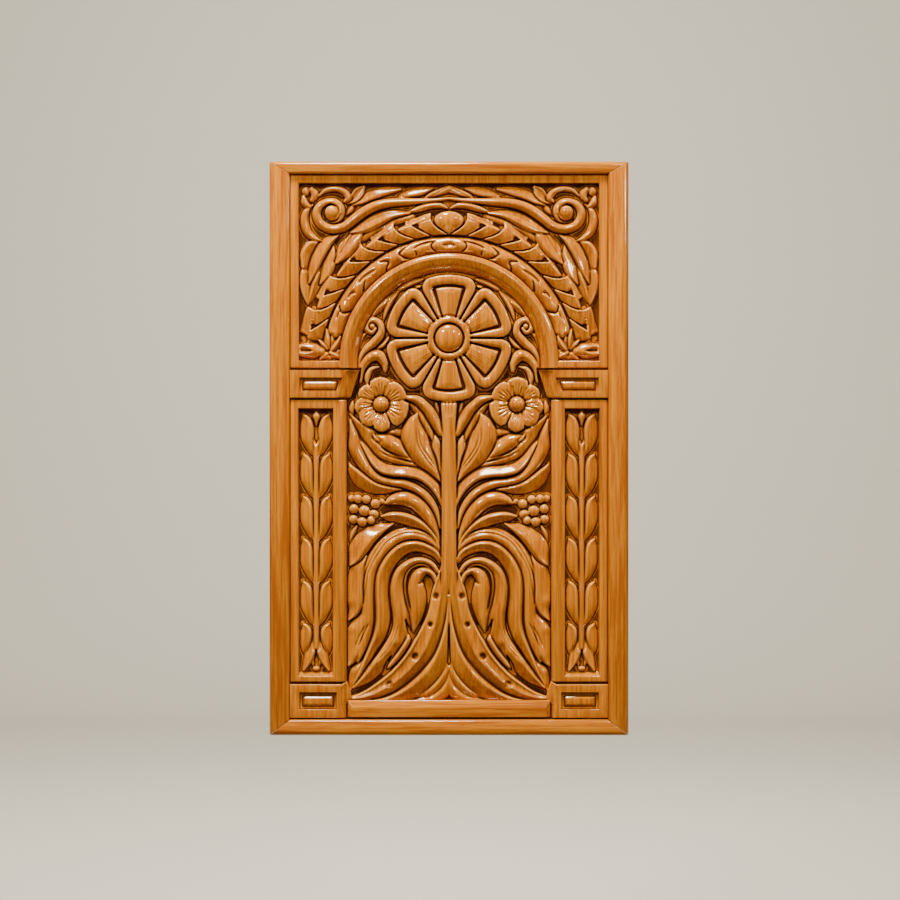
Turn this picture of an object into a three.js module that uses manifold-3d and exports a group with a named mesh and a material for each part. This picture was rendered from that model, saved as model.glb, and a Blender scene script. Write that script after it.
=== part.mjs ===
// Carved wooden wall plaque: an arched niche with a flowering plant, in a mitred frame.
// Millimetres, +Z up, +X to the right. The carved face looks along -Y and the flat back lies at y = 0.
// The origin is the middle of the back, where the plaque is fixed to the wall.
import * as THREE from 'three';
import { mergeVertices } from 'three/addons/utils/BufferGeometryUtils.js';
import Module from 'manifold-3d';

const wasm = await Module();
wasm.setup();

// Driving dimensions of the frame
const plaque_width = 360;
const plaque_height = 575;
const stile_width = 20.5;
const top_rail_width = 12.5;
const bottom_rail_width = 16;
const frame_depth = 24.5;
const frame_outer_round = 6.5;
const rebate_share = 0.3;

// Driving dimensions of the joints and of the board behind everything
const fit_gap = 0.3;
const groove = 2.5;
const board_thickness = 9;

// Driving dimensions of the arched upper board
const arch_ground = 2.7;
const border_width = 8.7;
const border_rise = 7.5;
const border_bevel = 2;
const crown_space = 70;
const arch_outer_radius = 110;
const arch_ring_width = 18;
const arch_rise = 9.3;
const arch_foot = 5;
const bottom_border_width = 7;

// Driving dimensions of the capitals, pilasters, bases and sill
const pilaster_width = 56.5;
const pilaster_front = 11;
const pilaster_outer_band = 8.8;
const pilaster_inner_band = 14;
const pilaster_end_band = 9;
const pilaster_field_depth = 7;
const leaf_pitch = 42.5;
const leaf_half_chain = 14.5;
const stem_half_width = 3.3;
const capital_height = 27.5;
const capital_front = 13;
const capital_overhang = 12;
const capital_foot_overhang = 4;
const capital_side_slope = 11.5;
const side_depth = 5.5;
const base_height = 33;
const base_front = 12;
const base_nose = 5;
const base_face_line = 3.7;
const base_face_follow = 0.85;
const panel_sink = 3.2;
const panel_margin = 9;
const bar_margin = 2.5;
const bar_rise = 2.6;
const sill_height = 16.5;
const sill_front = 12;
const sill_bevel = 7;
const sill_end_bevel = 4.6;

// Heights of the carving over the ground that it stands on
const foliage_rise = 6.5;
const garland_rise = 6;
const plant_rise = 9;
const root_sink = 0.8;
const carving_tolerance = 0.3;

// The carving is drawn on the left half of a sheet, in millimetres, x to the right and y down.
// These are the places on the sheet that are laid on the plaque's own lines.
const sheet_axis = 450;
const sheet_niche_side = 347.5;
const sheet_crown = 270;
const sheet_floor = 701.5;
const sheet_spring = 362;
const sheet_arch_radius = 110;
const sheet_border_left = 300;
const sheet_border_top = 182;
const sheet_crown_space = 70;

// Lines that follow from the driving dimensions
const opening_half = plaque_width / 2 - stile_width;
const opening_top = plaque_height / 2 - top_rail_width;
const opening_bottom = -plaque_height / 2 + bottom_rail_width;
const inner_half = opening_half - fit_gap;
const block_back = board_thickness + fit_gap;
const arch_inner_radius = arch_outer_radius - arch_ring_width;
const arch_centre = opening_top - fit_gap - border_width - crown_space - arch_outer_radius;
const arch_board_bottom = arch_centre - arch_foot;
const capital_top = arch_board_bottom - groove;
const capital_bottom = capital_top - capital_height;
const base_bottom = opening_bottom + groove;
const base_top = base_bottom + base_height;
const pilaster_top = capital_bottom - groove;
const pilaster_bottom = base_top + groove;
const niche_half = inner_half - pilaster_width;
const sill_top = base_bottom + sill_height;

// Closed solid through a row of rings with the same number of points; each end is one flat face
function loft(rings) {
  const count = rings[0].length;
  const positions = rings.flat().flatMap((p) => [p.x, p.y, p.z]);
  const indices = [];
  for (let i = 0; i < rings.length - 1; i += 1) {
    for (let j = 0; j < count; j += 1) {
      const a = i * count + j;
      const b = i * count + ((j + 1) % count);
      indices.push(a, b, b + count, a, b + count, a + count);
    }
  }
  const last = (rings.length - 1) * count;
  for (const [a, b, c] of flatFaces(rings[0])) {
    indices.push(c, b, a, last + a, last + b, last + c);
  }
  const geometry = new THREE.BufferGeometry();
  geometry.setAttribute('position', new THREE.Float32BufferAttribute(positions, 3));
  geometry.setIndex(signedVolume(positions, indices) < 0 ? indices.toReversed() : indices);
  return solid(geometry);
}

// Triangles of one flat ring, found in the plane that the ring lies in
function flatFaces(ring) {
  const normal = new THREE.Vector3();
  for (let j = 0; j < ring.length; j += 1) {
    const next = ring[(j + 1) % ring.length];
    normal.add(new THREE.Vector3().crossVectors(ring[j], next));
  }
  const turn = new THREE.Quaternion().setFromUnitVectors(normal.normalize(), new THREE.Vector3(0, 0, 1));
  const flat = ring.map((p) => {
    const q = p.clone().applyQuaternion(turn);
    return new THREE.Vector2(q.x, q.y);
  });
  return THREE.ShapeUtils.triangulateShape(flat, []);
}

function signedVolume(positions, indices) {
  const corner = (i) => new THREE.Vector3().fromArray(positions, 3 * i);
  let six_volumes = 0;
  for (let i = 0; i < indices.length; i += 3) {
    const side = new THREE.Vector3().crossVectors(corner(indices[i + 1]), corner(indices[i + 2]));
    six_volumes += corner(indices[i]).dot(side);
  }
  return six_volumes;
}

function solid(geometry) {
  const bare = geometry.clone();
  bare.deleteAttribute('normal');
  bare.deleteAttribute('uv');
  const merged = mergeVertices(bare, 1e-4);
  const vertProperties = new Float32Array(merged.attributes.position.array);
  const triVerts = new Uint32Array(merged.index.array);
  return new wasm.Manifold(new wasm.Mesh({ numProp: 3, vertProperties, triVerts, tolerance: carving_tolerance }));
}

function joined(solids) {
  return solids.reduce((whole, next) => whole.add(next));
}

// A point by its place across, its depth in front of the wall, and its height
function place(x, depth, z) {
  return new THREE.Vector3(x, -depth, z);
}

// Block with upright sides up to its shoulder, then drawn in by an inset to its front face
function block(left, right, bottom, top, back, shoulder, front, inset) {
  const ring = (depth, step) => [
    place(left + step, depth, bottom + step),
    place(right - step, depth, bottom + step),
    place(right - step, depth, top - step),
    place(left + step, depth, top - step),
  ];
  return loft([ring(back, 0), ring(shoulder, 0), ring(front, inset)]);
}

// Cross-sections of carved forms: share of the half width, share of the rise
const ridged = [[-1, 0.4], [0, 1], [1, 0.4]];
const rounded = [[-1, 0.4], [-0.45, 0.97], [0.45, 0.97], [1, 0.4]];
const hollowed = [[-1, 0.7], [-0.84, 1], [-0.6, 0.62], [0, 0.8], [0.6, 0.62], [0.84, 1], [1, 0.7]];
const keeled = [[0, 1]];

// One carved leaf or strand: nodes of [x, z, half width], a section and its rise over the ground
function stroke(nodes, ground, rise, section, spans) {
  const spine = new THREE.CatmullRomCurve3(nodes.map(([x, z]) => new THREE.Vector3(x, 0, z)), false, 'centripetal');
  const widths = new THREE.CatmullRomCurve3(nodes.map(([, , w], i) => new THREE.Vector3(i, w, 0)));
  const widest = Math.max(...nodes.map((node) => node[2]));
  const rings = [];
  for (let i = 0; i <= spans; i += 1) {
    const t = i / spans;
    const middle = spine.getPoint(t);
    const along = spine.getTangent(t);
    const half = Math.max(widths.getPoint(t).y, 0.3);
    const height = rise * (0.55 + 0.45 * Math.min(1, half / widest));
    const point = (share, depth) => place(middle.x - along.z * share * half, depth, middle.z + along.x * share * half);
    const top = section.map(([share, part]) => point(share, ground + height * part));
    rings.push([point(-1, ground - root_sink), ...top, point(1, ground - root_sink)]);
  }
  return loft(rings);
}

// Low dome on the ground, with its middle at x, z
function dome(x, z, radius, ground, rise, sides) {
  const ring = (share, depth) => Array.from({ length: sides }, (_, i) => {
    const angle = (2 * Math.PI * i) / sides;
    return place(x + radius * share * Math.cos(angle), depth, z + radius * share * Math.sin(angle));
  });
  return loft([ring(1, ground - root_sink), ring(0.92, ground + rise * 0.55), ring(0.45, ground + rise)]);
}

function bothSides(solids) {
  return [...solids, ...solids.map((one) => one.mirror([1, 0, 0]))];
}

// Outer frame: one section, mitred from the outer corner of the frame to the inner one
function frameSection() {
  const back = board_thickness + fit_gap;
  const round = frame_outer_round;
  return [
    [0, 0], [0, frame_depth - round], [0.08, frame_depth - round * 0.42], [0.24, frame_depth - round * 0.14],
    [0.5, frame_depth], [0.86, frame_depth], [1, frame_depth - 2], [1, back], [1 - rebate_share, back],
    [1 - rebate_share, 0],
  ];
}

function stile(side) {
  const end = (sign, rail_width) => frameSection().map(([share, depth]) => place(
    side * (plaque_width / 2 - share * stile_width), depth,
    sign * (plaque_height / 2 - share * rail_width - fit_gap)));
  return loft([end(-1, bottom_rail_width), end(1, top_rail_width)]);
}

function rail(sign, rail_width) {
  const end = (side) => frameSection().map(([share, depth]) => place(
    side * (plaque_width / 2 - share * stile_width - fit_gap), depth,
    sign * (plaque_height / 2 - share * rail_width)));
  return loft([end(-1), end(1)]);
}

// Upper board: ground, border on three sides and short bars below, arch moulding, foliage
function archRing() {
  const front = block_back + arch_ground + arch_rise;
  const width = arch_ring_width;
  const section = [
    [0, block_back], [0, block_back + 1], [0.06 * width, front - 9.4], [0.26 * width, front - 5],
    [0.43 * width, front - 2.2], [0.73 * width, front], [0.95 * width, front - 1.8], [width, front - 4.6],
    [width, block_back],
  ];
  const rings = [];
  const steps = 20;
  const ring = (angle, drop) => section.map(([out, depth]) => {
    const radius = arch_inner_radius + out;
    return place(radius * Math.cos(angle), depth, arch_centre + radius * Math.sin(angle) - drop);
  });
  rings.push(ring(0, arch_foot));
  for (let i = 0; i <= steps; i += 1) {
    rings.push(ring((Math.PI * i) / steps, 0));
  }
  rings.push(ring(Math.PI, arch_foot));
  return loft(rings);
}

// The ground is cut away along the middle of the arch ring, which then covers its edge
function nicheOpening() {
  const radius = arch_inner_radius + arch_ring_width / 2;
  const steps = 16;
  const outline = (depth) => {
    const points = [place(radius, depth, arch_board_bottom - 1)];
    for (let i = 0; i <= steps; i += 1) {
      const angle = (Math.PI * i) / steps;
      points.push(place(radius * Math.cos(angle), depth, arch_centre + radius * Math.sin(angle)));
    }
    points.push(place(-radius, depth, arch_board_bottom - 1));
    return points;
  };
  return loft([outline(block_back - 1), outline(block_back + arch_ground + foliage_rise * 2)]);
}

// Sheet places of the corner foliage follow the inner corner of the border
function cornerPlace([x, y, half]) {
  const corner_x = inner_half - border_width;
  const corner_z = opening_top - fit_gap - border_width;
  const scale_x = corner_x / (sheet_axis - sheet_border_left);
  const scale_z = (corner_z - arch_centre) / (sheet_spring - sheet_border_top);
  return [(x - sheet_axis) * scale_x, corner_z + (sheet_border_top - y) * scale_z, half];
}

const volute_strand = [
  [340.5, 211, 5], [338, 204, 4.6], [331.5, 201, 4.3], [323, 203.5, 4.6], [317.2, 212, 5], [321, 223, 5],
  [332.5, 228, 4.8], [344.5, 226, 5], [354.5, 218.5, 5.2], [364.5, 210.5, 5.5], [375.5, 204.5, 5.5],
  [388.5, 201.5, 5], [405.5, 200.5, 4.5], [420.5, 200, 3.5], [435.5, 199.5, 2.2], [453, 198, 1.5],
];
const corner_leaves = [
  [[409.5, 211.5, 1], [392.5, 212.5, 3.2], [376.5, 219, 5], [362.5, 226, 4], [351.5, 229.5, 1]],
  [[447.5, 204, 2], [435.5, 205, 3.5], [422.5, 207, 3], [409.5, 210, 0.6]],
  [[448, 188, 4], [440.5, 191, 4], [430.5, 195, 3], [422.5, 200, 1]],
  [[432.5, 188, 2], [422.5, 190, 4.5], [408.5, 193, 4], [394.5, 198, 1]],
  [[400.5, 188.5, 2], [386.5, 190, 4], [373.5, 193.5, 5], [354.5, 203, 1]],
  [[363.5, 187, 1.5], [359.5, 191, 4], [354.5, 197, 3.5], [348.5, 201, 1]],
  [[320.5, 193, 1.5], [327.5, 188.5, 2.5], [336.5, 188, 2.8], [344.5, 191, 3.5], [347.5, 197, 3]],
  [[314.5, 203, 1], [307.5, 210, 3], [306.5, 222, 4], [310.5, 233, 4], [320.5, 239, 1]],
  [[357.5, 233, 4], [351.5, 241, 7], [344.5, 250, 7], [338.5, 258, 3]],
  [[333.5, 247, 1], [330.5, 259, 4], [326.5, 270, 5], [321.5, 279, 1]],
  [[338.5, 234, 1], [327.5, 243, 5], [319.5, 257, 4.5], [314.5, 268, 4], [310.5, 278, 1]],
  [[319.5, 241, 1], [312.5, 246, 4], [307.5, 254, 4.5], [305.5, 263, 2]],
  [[306.5, 266, 2], [306.5, 278, 4], [308.5, 288, 4], [309.5, 298, 1]],
  [[328, 309, 3], [317, 312, 6.5], [306, 314, 2]],
  [[330, 328, 3], [317, 328, 7], [305, 331, 2]],
  [[333, 350, 2], [329, 341, 5], [325, 332, 1]],
  [[333, 350, 2], [324, 350, 5], [317, 350, 1]],
  [[333, 350, 2], [333, 341, 5], [339, 331, 1]],
];
const corner_lobes = [[314.5, 193, 5.5], [307, 190, 5], [306.5, 202, 5.5], [331.5, 212, 6], [306, 350, 7]];

// Garland places: distance from the arch centre on the sheet, and angle from the crown in degrees
function garlandPlace(radius, angle) {
  const out = arch_outer_radius + (radius - sheet_arch_radius) * (crown_space / sheet_crown_space);
  const turn = THREE.MathUtils.degToRad(angle);
  return [-out * Math.sin(turn), arch_centre + out * Math.cos(turn)];
}

function garlandLeaf(nodes) {
  return nodes.map(([radius, angle, half]) => [...garlandPlace(radius, angle), half]);
}

function cornerFoliage() {
  const ground = block_back + arch_ground;
  const solids = [stroke(volute_strand.map(cornerPlace), ground, foliage_rise + 1, rounded, 14)];
  for (const leaf of corner_leaves) {
    solids.push(stroke(leaf.map(cornerPlace), ground, foliage_rise, keeled, 3));
  }
  for (const lobe of corner_lobes) {
    const [x, z, radius] = cornerPlace(lobe);
    solids.push(dome(x, z, radius, ground, foliage_rise, 5));
  }
  for (const notch of [12.7, 26.4, 41.6, 57.8]) {
    const upper = [[129, notch - 9.5, 1], [138, notch - 6.5, 5], [146, notch - 3, 4]];
    const lower = [[129, notch - 3, 1], [136, notch + 2, 5.5], [142, notch + 5, 4.5], [148, notch + 8, 0.6]];
    solids.push(stroke(garlandLeaf(upper), ground, garland_rise, keeled, 2));
    solids.push(stroke(garlandLeaf(lower), ground, garland_rise, keeled, 2));
  }
  for (const start of [8.7, 26.5, 45, 62]) {
    const body = [[113, start, 2], [116, start + 6, 5], [117, start + 14, 4], [115, start + 18, 1]];
    const edge = [[125.5, start, 1.5], [124, start + 10, 2.8], [118.5, start + 22, 1]];
    solids.push(stroke(garlandLeaf(body), ground, garland_rise, keeled, 2));
    solids.push(stroke(garlandLeaf(edge), ground, garland_rise, keeled, 2));
  }
  return bothSides(solids);
}

function centreBuds() {
  const ground = block_back + arch_ground;
  const upper = [garlandPlace(150, 0), garlandPlace(140, 0), garlandPlace(128, 0)];
  const lower = [garlandPlace(122.5, 0), garlandPlace(107, 0)];
  return [
    stroke([[...upper[0], 8], [...upper[1], 13.5], [...upper[2], 9]], ground, garland_rise, rounded, 4),
    stroke([[...lower[0], 10], [...lower[1], 10]], ground, garland_rise - 1, rounded, 2),
  ];
}

function archPanel() {
  const ground = block_back + arch_ground;
  const front = ground + border_rise;
  const top = opening_top - fit_gap;
  const inner = inner_half - border_width;
  const bevel = border_bevel;
  const strip = (left, right, bottom, up) => block(left, right, bottom, up, block_back, front - bevel, front, bevel);
  const bars = bothSides([
    strip(-inner_half, -inner, arch_board_bottom, top),
    strip(-inner_half, -arch_outer_radius + 1, arch_board_bottom, arch_board_bottom + bottom_border_width),
  ]);
  const ground_board = block(-inner_half, inner_half, arch_board_bottom, top, block_back, ground - 0.1, ground, 0.1);
  const foliage = joined([...cornerFoliage(), ...centreBuds()]);
  const field = block(-inner - 1, inner + 1, arch_board_bottom + 1, top - border_width + 1,
    block_back, front + 5, front + 6, 0);
  const board = joined([ground_board, foliage.intersect(field), strip(-inner_half, inner_half, top - border_width, top),
    ...bars]);
  return board.subtract(nicheOpening()).add(archRing());
}

// Sunk panel with a hipped bar in it, on the front of a capital or a base
function sunkPanel(body, left, right, bottom, top, front) {
  const floor = front - panel_sink;
  const pocket = block(left, right, bottom, top, front + 1, front, floor, panel_sink * 0.5);
  const bar = block(left + bar_margin, right - bar_margin, bottom + bar_margin, top - bar_margin,
    floor - 1, floor, floor + bar_rise, (top - bottom - 2 * bar_margin) * 0.38);
  return body.subtract(pocket).add(bar);
}

// Block with a face of its own in front: the side towards the niche slopes back from it
function facedBlock(outline, face, front) {
  const ring = (points, depth) => points.map(([x, z]) => place(x, depth, z));
  return loft([ring(outline, block_back), ring(outline, front - side_depth), ring(face, front)]);
}

// Left capital: its niche side leans out under the arch
function capital() {
  const front = block_back + capital_front;
  const edge = -niche_half;
  const outline = [
    [-inner_half, capital_bottom], [edge + capital_foot_overhang - 1.5, capital_bottom],
    [edge + capital_foot_overhang, capital_bottom + 1], [edge + capital_overhang, capital_top - 1],
    [edge + capital_overhang + 1, capital_top], [-inner_half, capital_top],
  ];
  const face = outline.map(([x, z]) => (x > edge ? [x - capital_side_slope, z] : [x + 0.8, z]));
  const body = facedBlock(outline, face, front);
  return sunkPanel(body, -inner_half + panel_margin, edge - 5.5, capital_bottom + 6.5, capital_top - 7, front);
}

// Left pilaster: sunk field with a chain of paired leaves on a stem
function pilaster() {
  const front = block_back + pilaster_front;
  const edge = -niche_half;
  const rounding = 5;
  const section = [
    [-inner_half, block_back], [-inner_half, front - 2], [-inner_half + 1.5, front - 0.4],
    [-inner_half + 4, front], [edge - rounding, front], [edge - rounding * 0.35, front - rounding * 0.3],
    [edge, front - rounding], [edge, block_back],
  ];
  const body = loft([
    section.map(([x, depth]) => place(x, depth, pilaster_bottom)),
    section.map(([x, depth]) => place(x, depth, pilaster_top)),
  ]);
  const left = -inner_half + pilaster_outer_band;
  const right = edge - pilaster_inner_band;
  const bottom = pilaster_bottom + pilaster_end_band;
  const top = pilaster_top - pilaster_end_band;
  const floor = front - pilaster_field_depth;
  const pocket = block(left, right, bottom, top, front + 1, front, floor, 1);
  return body.subtract(pocket).add(joined(leafChain((left + right) / 2, bottom + 1, top - 1, floor)));
}

function leafChain(middle, bottom, top, floor) {
  const count = Math.max(2, Math.round((top - bottom) / leaf_pitch));
  const pitch = (top - bottom) / count;
  const rise = pilaster_field_depth - 1;
  const wide = leaf_half_chain;
  const stem = [[middle, top, 2], [middle, top - pitch * 0.5, stem_half_width],
    [middle, bottom + pitch * 0.8, stem_half_width], [middle, bottom + pitch * 0.4, 2]];
  const solids = [stroke(stem, floor, rise - 1, ridged, 3)];
  for (let i = 0; i < count; i += 1) {
    const tip = top - i * pitch;
    for (const side of [-1, 1]) {
      const leaf = [[middle + side * (wide - 1), tip, 0.8], [middle + side * (wide * 0.62), tip - pitch * 0.3, 5.2],
        [middle + side * (wide * 0.62), tip - pitch * 0.65, 5.2], [middle + side * 4, tip - pitch * 0.98, 0.8]];
      solids.push(stroke(leaf, floor, rise, keeled, 3));
    }
  }
  return solids;
}

// Left base: its niche side has a pointed nose over the end of the sill
function base() {
  const front = block_back + base_front;
  const edge = -niche_half;
  const nose = sill_top + groove + 5;
  const outline = [[-inner_half, base_bottom], [edge - 0.5, base_bottom], [edge - 0.5, sill_top + groove],
    [edge + base_nose * 0.5, sill_top + groove], [edge + base_nose, nose], [edge + base_nose * 0.35, base_top - 3],
    [edge, base_top], [-inner_half, base_top]];
  const face = outline.map(([x, z]) => (x > edge - 1
    ? [edge - base_face_line - base_face_follow * (x - edge), z] : [x + 0.8, z]));
  const body = facedBlock(outline, face, front);
  return sunkPanel(body, -inner_half + panel_margin + 1, edge - 9, base_bottom + 9, base_top - 8, front);
}

function sill() {
  const front = block_back + sill_front;
  const half = niche_half - groove / 2;
  const ring = (depth, drop, end) => [
    place(-half + end, depth, base_bottom), place(half - end, depth, base_bottom),
    place(half - end, depth, sill_top - drop), place(-half + end, depth, sill_top - drop),
  ];
  return loft([ring(block_back, 0, 0), ring(front - sill_bevel, 0, 0), ring(front, sill_bevel, sill_end_bevel)]);
}

// Sheet places of the plant follow the niche, from its floor to its crown
function plantPlace([x, y, half]) {
  const scale_x = niche_half / (sheet_axis - sheet_niche_side);
  const scale_z = (arch_centre + arch_inner_radius - sill_top) / (sheet_floor - sheet_crown);
  return [(x - sheet_axis) * scale_x, sill_top + (sheet_floor - y) * scale_z, half];
}

const trunk = [[450, 402, 8.5], [450, 433, 5.2], [450, 446, 7.2], [450, 560, 7.2], [450, 600, 9], [450, 645, 3]];
const strands = [
  [[408, 396, 4], [420, 399, 4.5], [432, 412, 4.7], [444, 433, 4.5]],
  [[357, 436, 1], [368, 448, 4], [380, 460, 5], [395, 466, 5], [410, 469, 5], [425, 474, 5], [437, 487, 4.5],
    [443, 500, 3]],
  [[352, 430, 1], [362, 450, 4.5], [370, 466, 5], [380, 476, 5], [395, 481, 5], [410, 483, 5.5], [425, 490, 5],
    [437, 505, 4.5], [442, 522, 3]],
  [[443, 571, 3], [425, 549, 5], [413, 546, 5.5], [400, 551, 6], [390, 561, 6.5], [384, 576, 7.5], [383, 596, 8],
    [385, 613, 8], [383, 630, 7], [377, 648, 5], [369, 661, 4], [353, 688, 1]],
  [[438, 548, 3], [425, 537, 4.5], [410, 534, 5], [396, 539, 5.5], [381, 550, 6], [371, 567, 6.5], [368, 590, 6],
    [369, 610, 6], [368, 640, 4], [362, 655, 1]],
  [[440, 575, 3], [430, 563, 4], [418, 557, 4.5], [406, 561, 5], [399, 575, 6], [398, 600, 7], [399, 618, 7],
    [394, 640, 6], [383, 658, 1]],
  [[443, 584, 6.5], [440, 603, 9], [433, 630, 11.5], [422, 653, 12], [404, 675, 10.5], [383, 690, 8],
    [353, 698, 1]],
  [[386, 325, 4], [380, 337, 4.5], [370, 345, 4.5], [364, 355, 4.5], [361, 370, 2]],
  [[360, 378, 3], [364, 360, 5], [374, 351, 5.5], [384, 352, 5], [388, 362, 4], [384, 370, 2]],
];
const plant_leaves = [
  [[419, 413, 0.8], [413, 430, 10], [417, 450, 13], [430, 468, 9], [443, 482, 2]],
  [[374, 440, 2], [388, 444, 9], [402, 452, 9], [414, 462, 3]],
  [[350, 415, 0.6], [359, 428, 3.5], [370, 437, 4.5], [381, 443, 2]],
  [[349, 465, 1], [356, 477, 5], [368, 487, 6], [382, 491, 5], [395, 491, 2]],
  [[385, 505, 2], [393, 500, 5], [408, 500, 7], [424, 508, 8], [434, 522, 7], [438, 545, 2]],
  [[382, 518, 0.8], [396, 518, 5], [411, 521, 6], [427, 530, 5], [441, 545, 2]],
  [[380, 524, 1], [366, 533, 5], [357, 546, 6], [354, 566, 1]],
  [[420, 571, 2], [418, 590, 9], [416, 610, 7], [414, 633, 0.8]],
  [[358, 562, 2], [355, 585, 6], [354, 605, 5], [352, 620, 1]],
  [[358, 612, 2], [355, 635, 6], [353, 655, 4], [350, 668, 1]],
  [[358, 665, 2], [354, 678, 4], [351, 690, 1]],
  [[404, 622, 5], [399, 640, 8], [393, 658, 6], [388, 673, 1]],
  [[385, 655, 2], [374, 668, 7], [362, 682, 6], [355, 690, 1]],
  [[449, 652, 3], [443, 674, 6], [431, 690, 6], [412, 699, 1]],
  [[448, 622, 3], [443, 652, 8], [428, 679, 9.5], [405, 695, 6], [382, 701, 1]],
  [[376, 346, 1], [385, 340, 4], [392, 335, 1]],
  [[427, 277, 1], [416, 283, 4.5], [404, 291, 1]],
  [[401, 295, 1], [389, 303, 6], [377, 314, 2]],
];
const berries = [[357, 499], [366, 499], [376, 504], [356, 509], [365, 510], [374, 514], [355, 519], [363, 521]];
const berry_radius = 5;
const bloom = { x: 450, y: 337.4, dome: 14, ring: 21.5, reach: 64, half: 27, count: 6 };
const small_bloom = { x: 381.8, y: 403.8, dome: 7.8, reach: 27.5, half: 9, count: 8 };
const small_volute = { x: 372, y: 326, radius: 9.5 };

function petals(flower, ground, rise, shape, section, spans) {
  const [x, z] = plantPlace([flower.x, flower.y, 0]);
  return Array.from({ length: flower.count }, (_, i) => {
    const angle = Math.PI / 2 + (2 * Math.PI * i) / flower.count;
    const nodes = shape.map(([out, half]) => [
      x + out * flower.reach * Math.cos(angle), z + out * flower.reach * Math.sin(angle), half * flower.half]);
    return stroke(nodes, ground, rise, section, spans);
  });
}

function plant() {
  const ground = board_thickness;
  const solids = [];
  for (const strand of strands) {
    solids.push(stroke(strand.map(plantPlace), ground, plant_rise, ridged, Math.round(strand.length * 0.6)));
  }
  for (const leaf of plant_leaves) {
    solids.push(stroke(leaf.map(plantPlace), ground, plant_rise - 2, keeled, 3));
  }
  for (const [x, y] of berries) {
    const [berry_x, berry_z] = plantPlace([x, y, 0]);
    solids.push(dome(berry_x, berry_z, berry_radius, ground, plant_rise - 3, 5));
  }
  const [curl_x, curl_z] = plantPlace([small_volute.x, small_volute.y, 0]);
  solids.push(dome(curl_x, curl_z, small_volute.radius, ground, plant_rise, 8));
  const small_shape = [[0.2, 0.35], [0.6, 0.85], [0.85, 1], [1, 0.55]];
  solids.push(...petals(small_bloom, ground, plant_rise - 2, small_shape, keeled, 2));
  const [small_x, small_z] = plantPlace([small_bloom.x, small_bloom.y, 0]);
  solids.push(dome(small_x, small_z, small_bloom.dome, ground, plant_rise, 8));
  const both = bothSides(solids);
  both.push(stroke(trunk.map(plantPlace), ground, plant_rise, rounded, 6));
  const big_shape = [[0.28, 0.2], [0.5, 0.55], [0.72, 0.92], [0.84, 1], [0.96, 0.72], [1, 0.4]];
  both.push(...petals(bloom, ground, plant_rise, big_shape, hollowed, 3));
  const [bloom_x, bloom_z] = plantPlace([bloom.x, bloom.y, 0]);
  both.push(dome(bloom_x, bloom_z, bloom.ring, ground, plant_rise - 1, 14));
  both.push(dome(bloom_x, bloom_z, bloom.dome, ground, plant_rise + 2, 12));
  return joined(both);
}

// The part of the board's front that the blocks and the arch leave free, a little inside their sides
function nicheSpace() {
  const clear = fit_gap;
  const radius = arch_inner_radius - clear;
  const side = niche_half - clear;
  const outline = (depth) => {
    const points = [place(-side, depth, sill_top + clear), place(side, depth, sill_top + clear),
      place(side, depth, capital_bottom), place(radius, depth, capital_top)];
    for (let i = 0; i <= 22; i += 1) {
      const angle = (Math.PI * i) / 22;
      points.push(place(radius * Math.cos(angle), depth, arch_centre + radius * Math.sin(angle)));
    }
    points.push(place(-radius, depth, capital_top), place(-side, depth, capital_bottom));
    return points;
  };
  return loft([outline(board_thickness - root_sink), outline(board_thickness + plant_rise + 6)]);
}

function treePanel() {
  const half = plaque_width / 2 - stile_width * (1 - rebate_share) - fit_gap;
  const bottom = -plaque_height / 2 + bottom_rail_width * (1 - rebate_share) + fit_gap;
  const top = plaque_height / 2 - top_rail_width * (1 - rebate_share) - fit_gap;
  const board = block(-half, half, bottom, top, 0, board_thickness - 0.5, board_thickness, 0.5);
  const blocks = joined([capital(), base()]);
  const kept_clear = joined(bothSides([blocks, ...[[fit_gap, 0], [0, fit_gap], [0, -fit_gap]].map(
    ([dx, dz]) => blocks.translate([dx, 0, dz]))]));
  return plant().intersect(nicheSpace()).subtract(kept_clear).add(board);
}

// Nodes and their lacquered wood
const wood = { roughness: 0.28, metalness: 0 };
const plaque = new THREE.Group();

function addPiece(name, piece, colour) {
  const { vertProperties, triVerts } = piece.getMesh();
  const geometry = new THREE.BufferGeometry();
  geometry.setAttribute('position', new THREE.Float32BufferAttribute(vertProperties, 3));
  geometry.setIndex(Array.from(triVerts));
  geometry.computeVertexNormals();
  const material = new THREE.MeshStandardMaterial({ ...wood, color: colour });
  const mesh = new THREE.Mesh(geometry, material);
  mesh.name = name;
  plaque.add(mesh);
}

const right_hand = (piece) => piece.mirror([1, 0, 0]);

addPiece('frame_left_stile', stile(-1), 0xc98a3c);
addPiece('frame_right_stile', stile(1), 0xc98a3c);
addPiece('frame_top_rail', rail(1, top_rail_width), 0xc98a3c);
addPiece('frame_bottom_rail', rail(-1, bottom_rail_width), 0xc98a3c);
addPiece('arch_panel', archPanel(), 0xc4853a);
addPiece('capital_left', capital(), 0xc4853a);
addPiece('capital_right', right_hand(capital()), 0xc4853a);
addPiece('pilaster_left', pilaster(), 0xc98a3c);
addPiece('pilaster_right', right_hand(pilaster()), 0xc98a3c);
addPiece('base_left', base(), 0xc4853a);
addPiece('base_right', right_hand(base()), 0xc4853a);
addPiece('sill', sill(), 0xc98a3c);
addPiece('tree_panel', treePanel(), 0xbf7f36);

export default plaque;
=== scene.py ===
# %% [markdown]
# # A carved and varnished wall plaque
# An upright wooden panel with an arched niche. A flowering plant is carved in the niche, leafy scrolls fill
# the corners over the arch, and a mitred frame goes round the work. The script loads the finished frame of
# solids and gives each piece its real surface: rounded mouldings, deep relief carving, streaky grain and a
# warm varnish. It works in metres. The wall is the plane y = 0, the front faces -y and z goes up.

# %% Setup
import math

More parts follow.
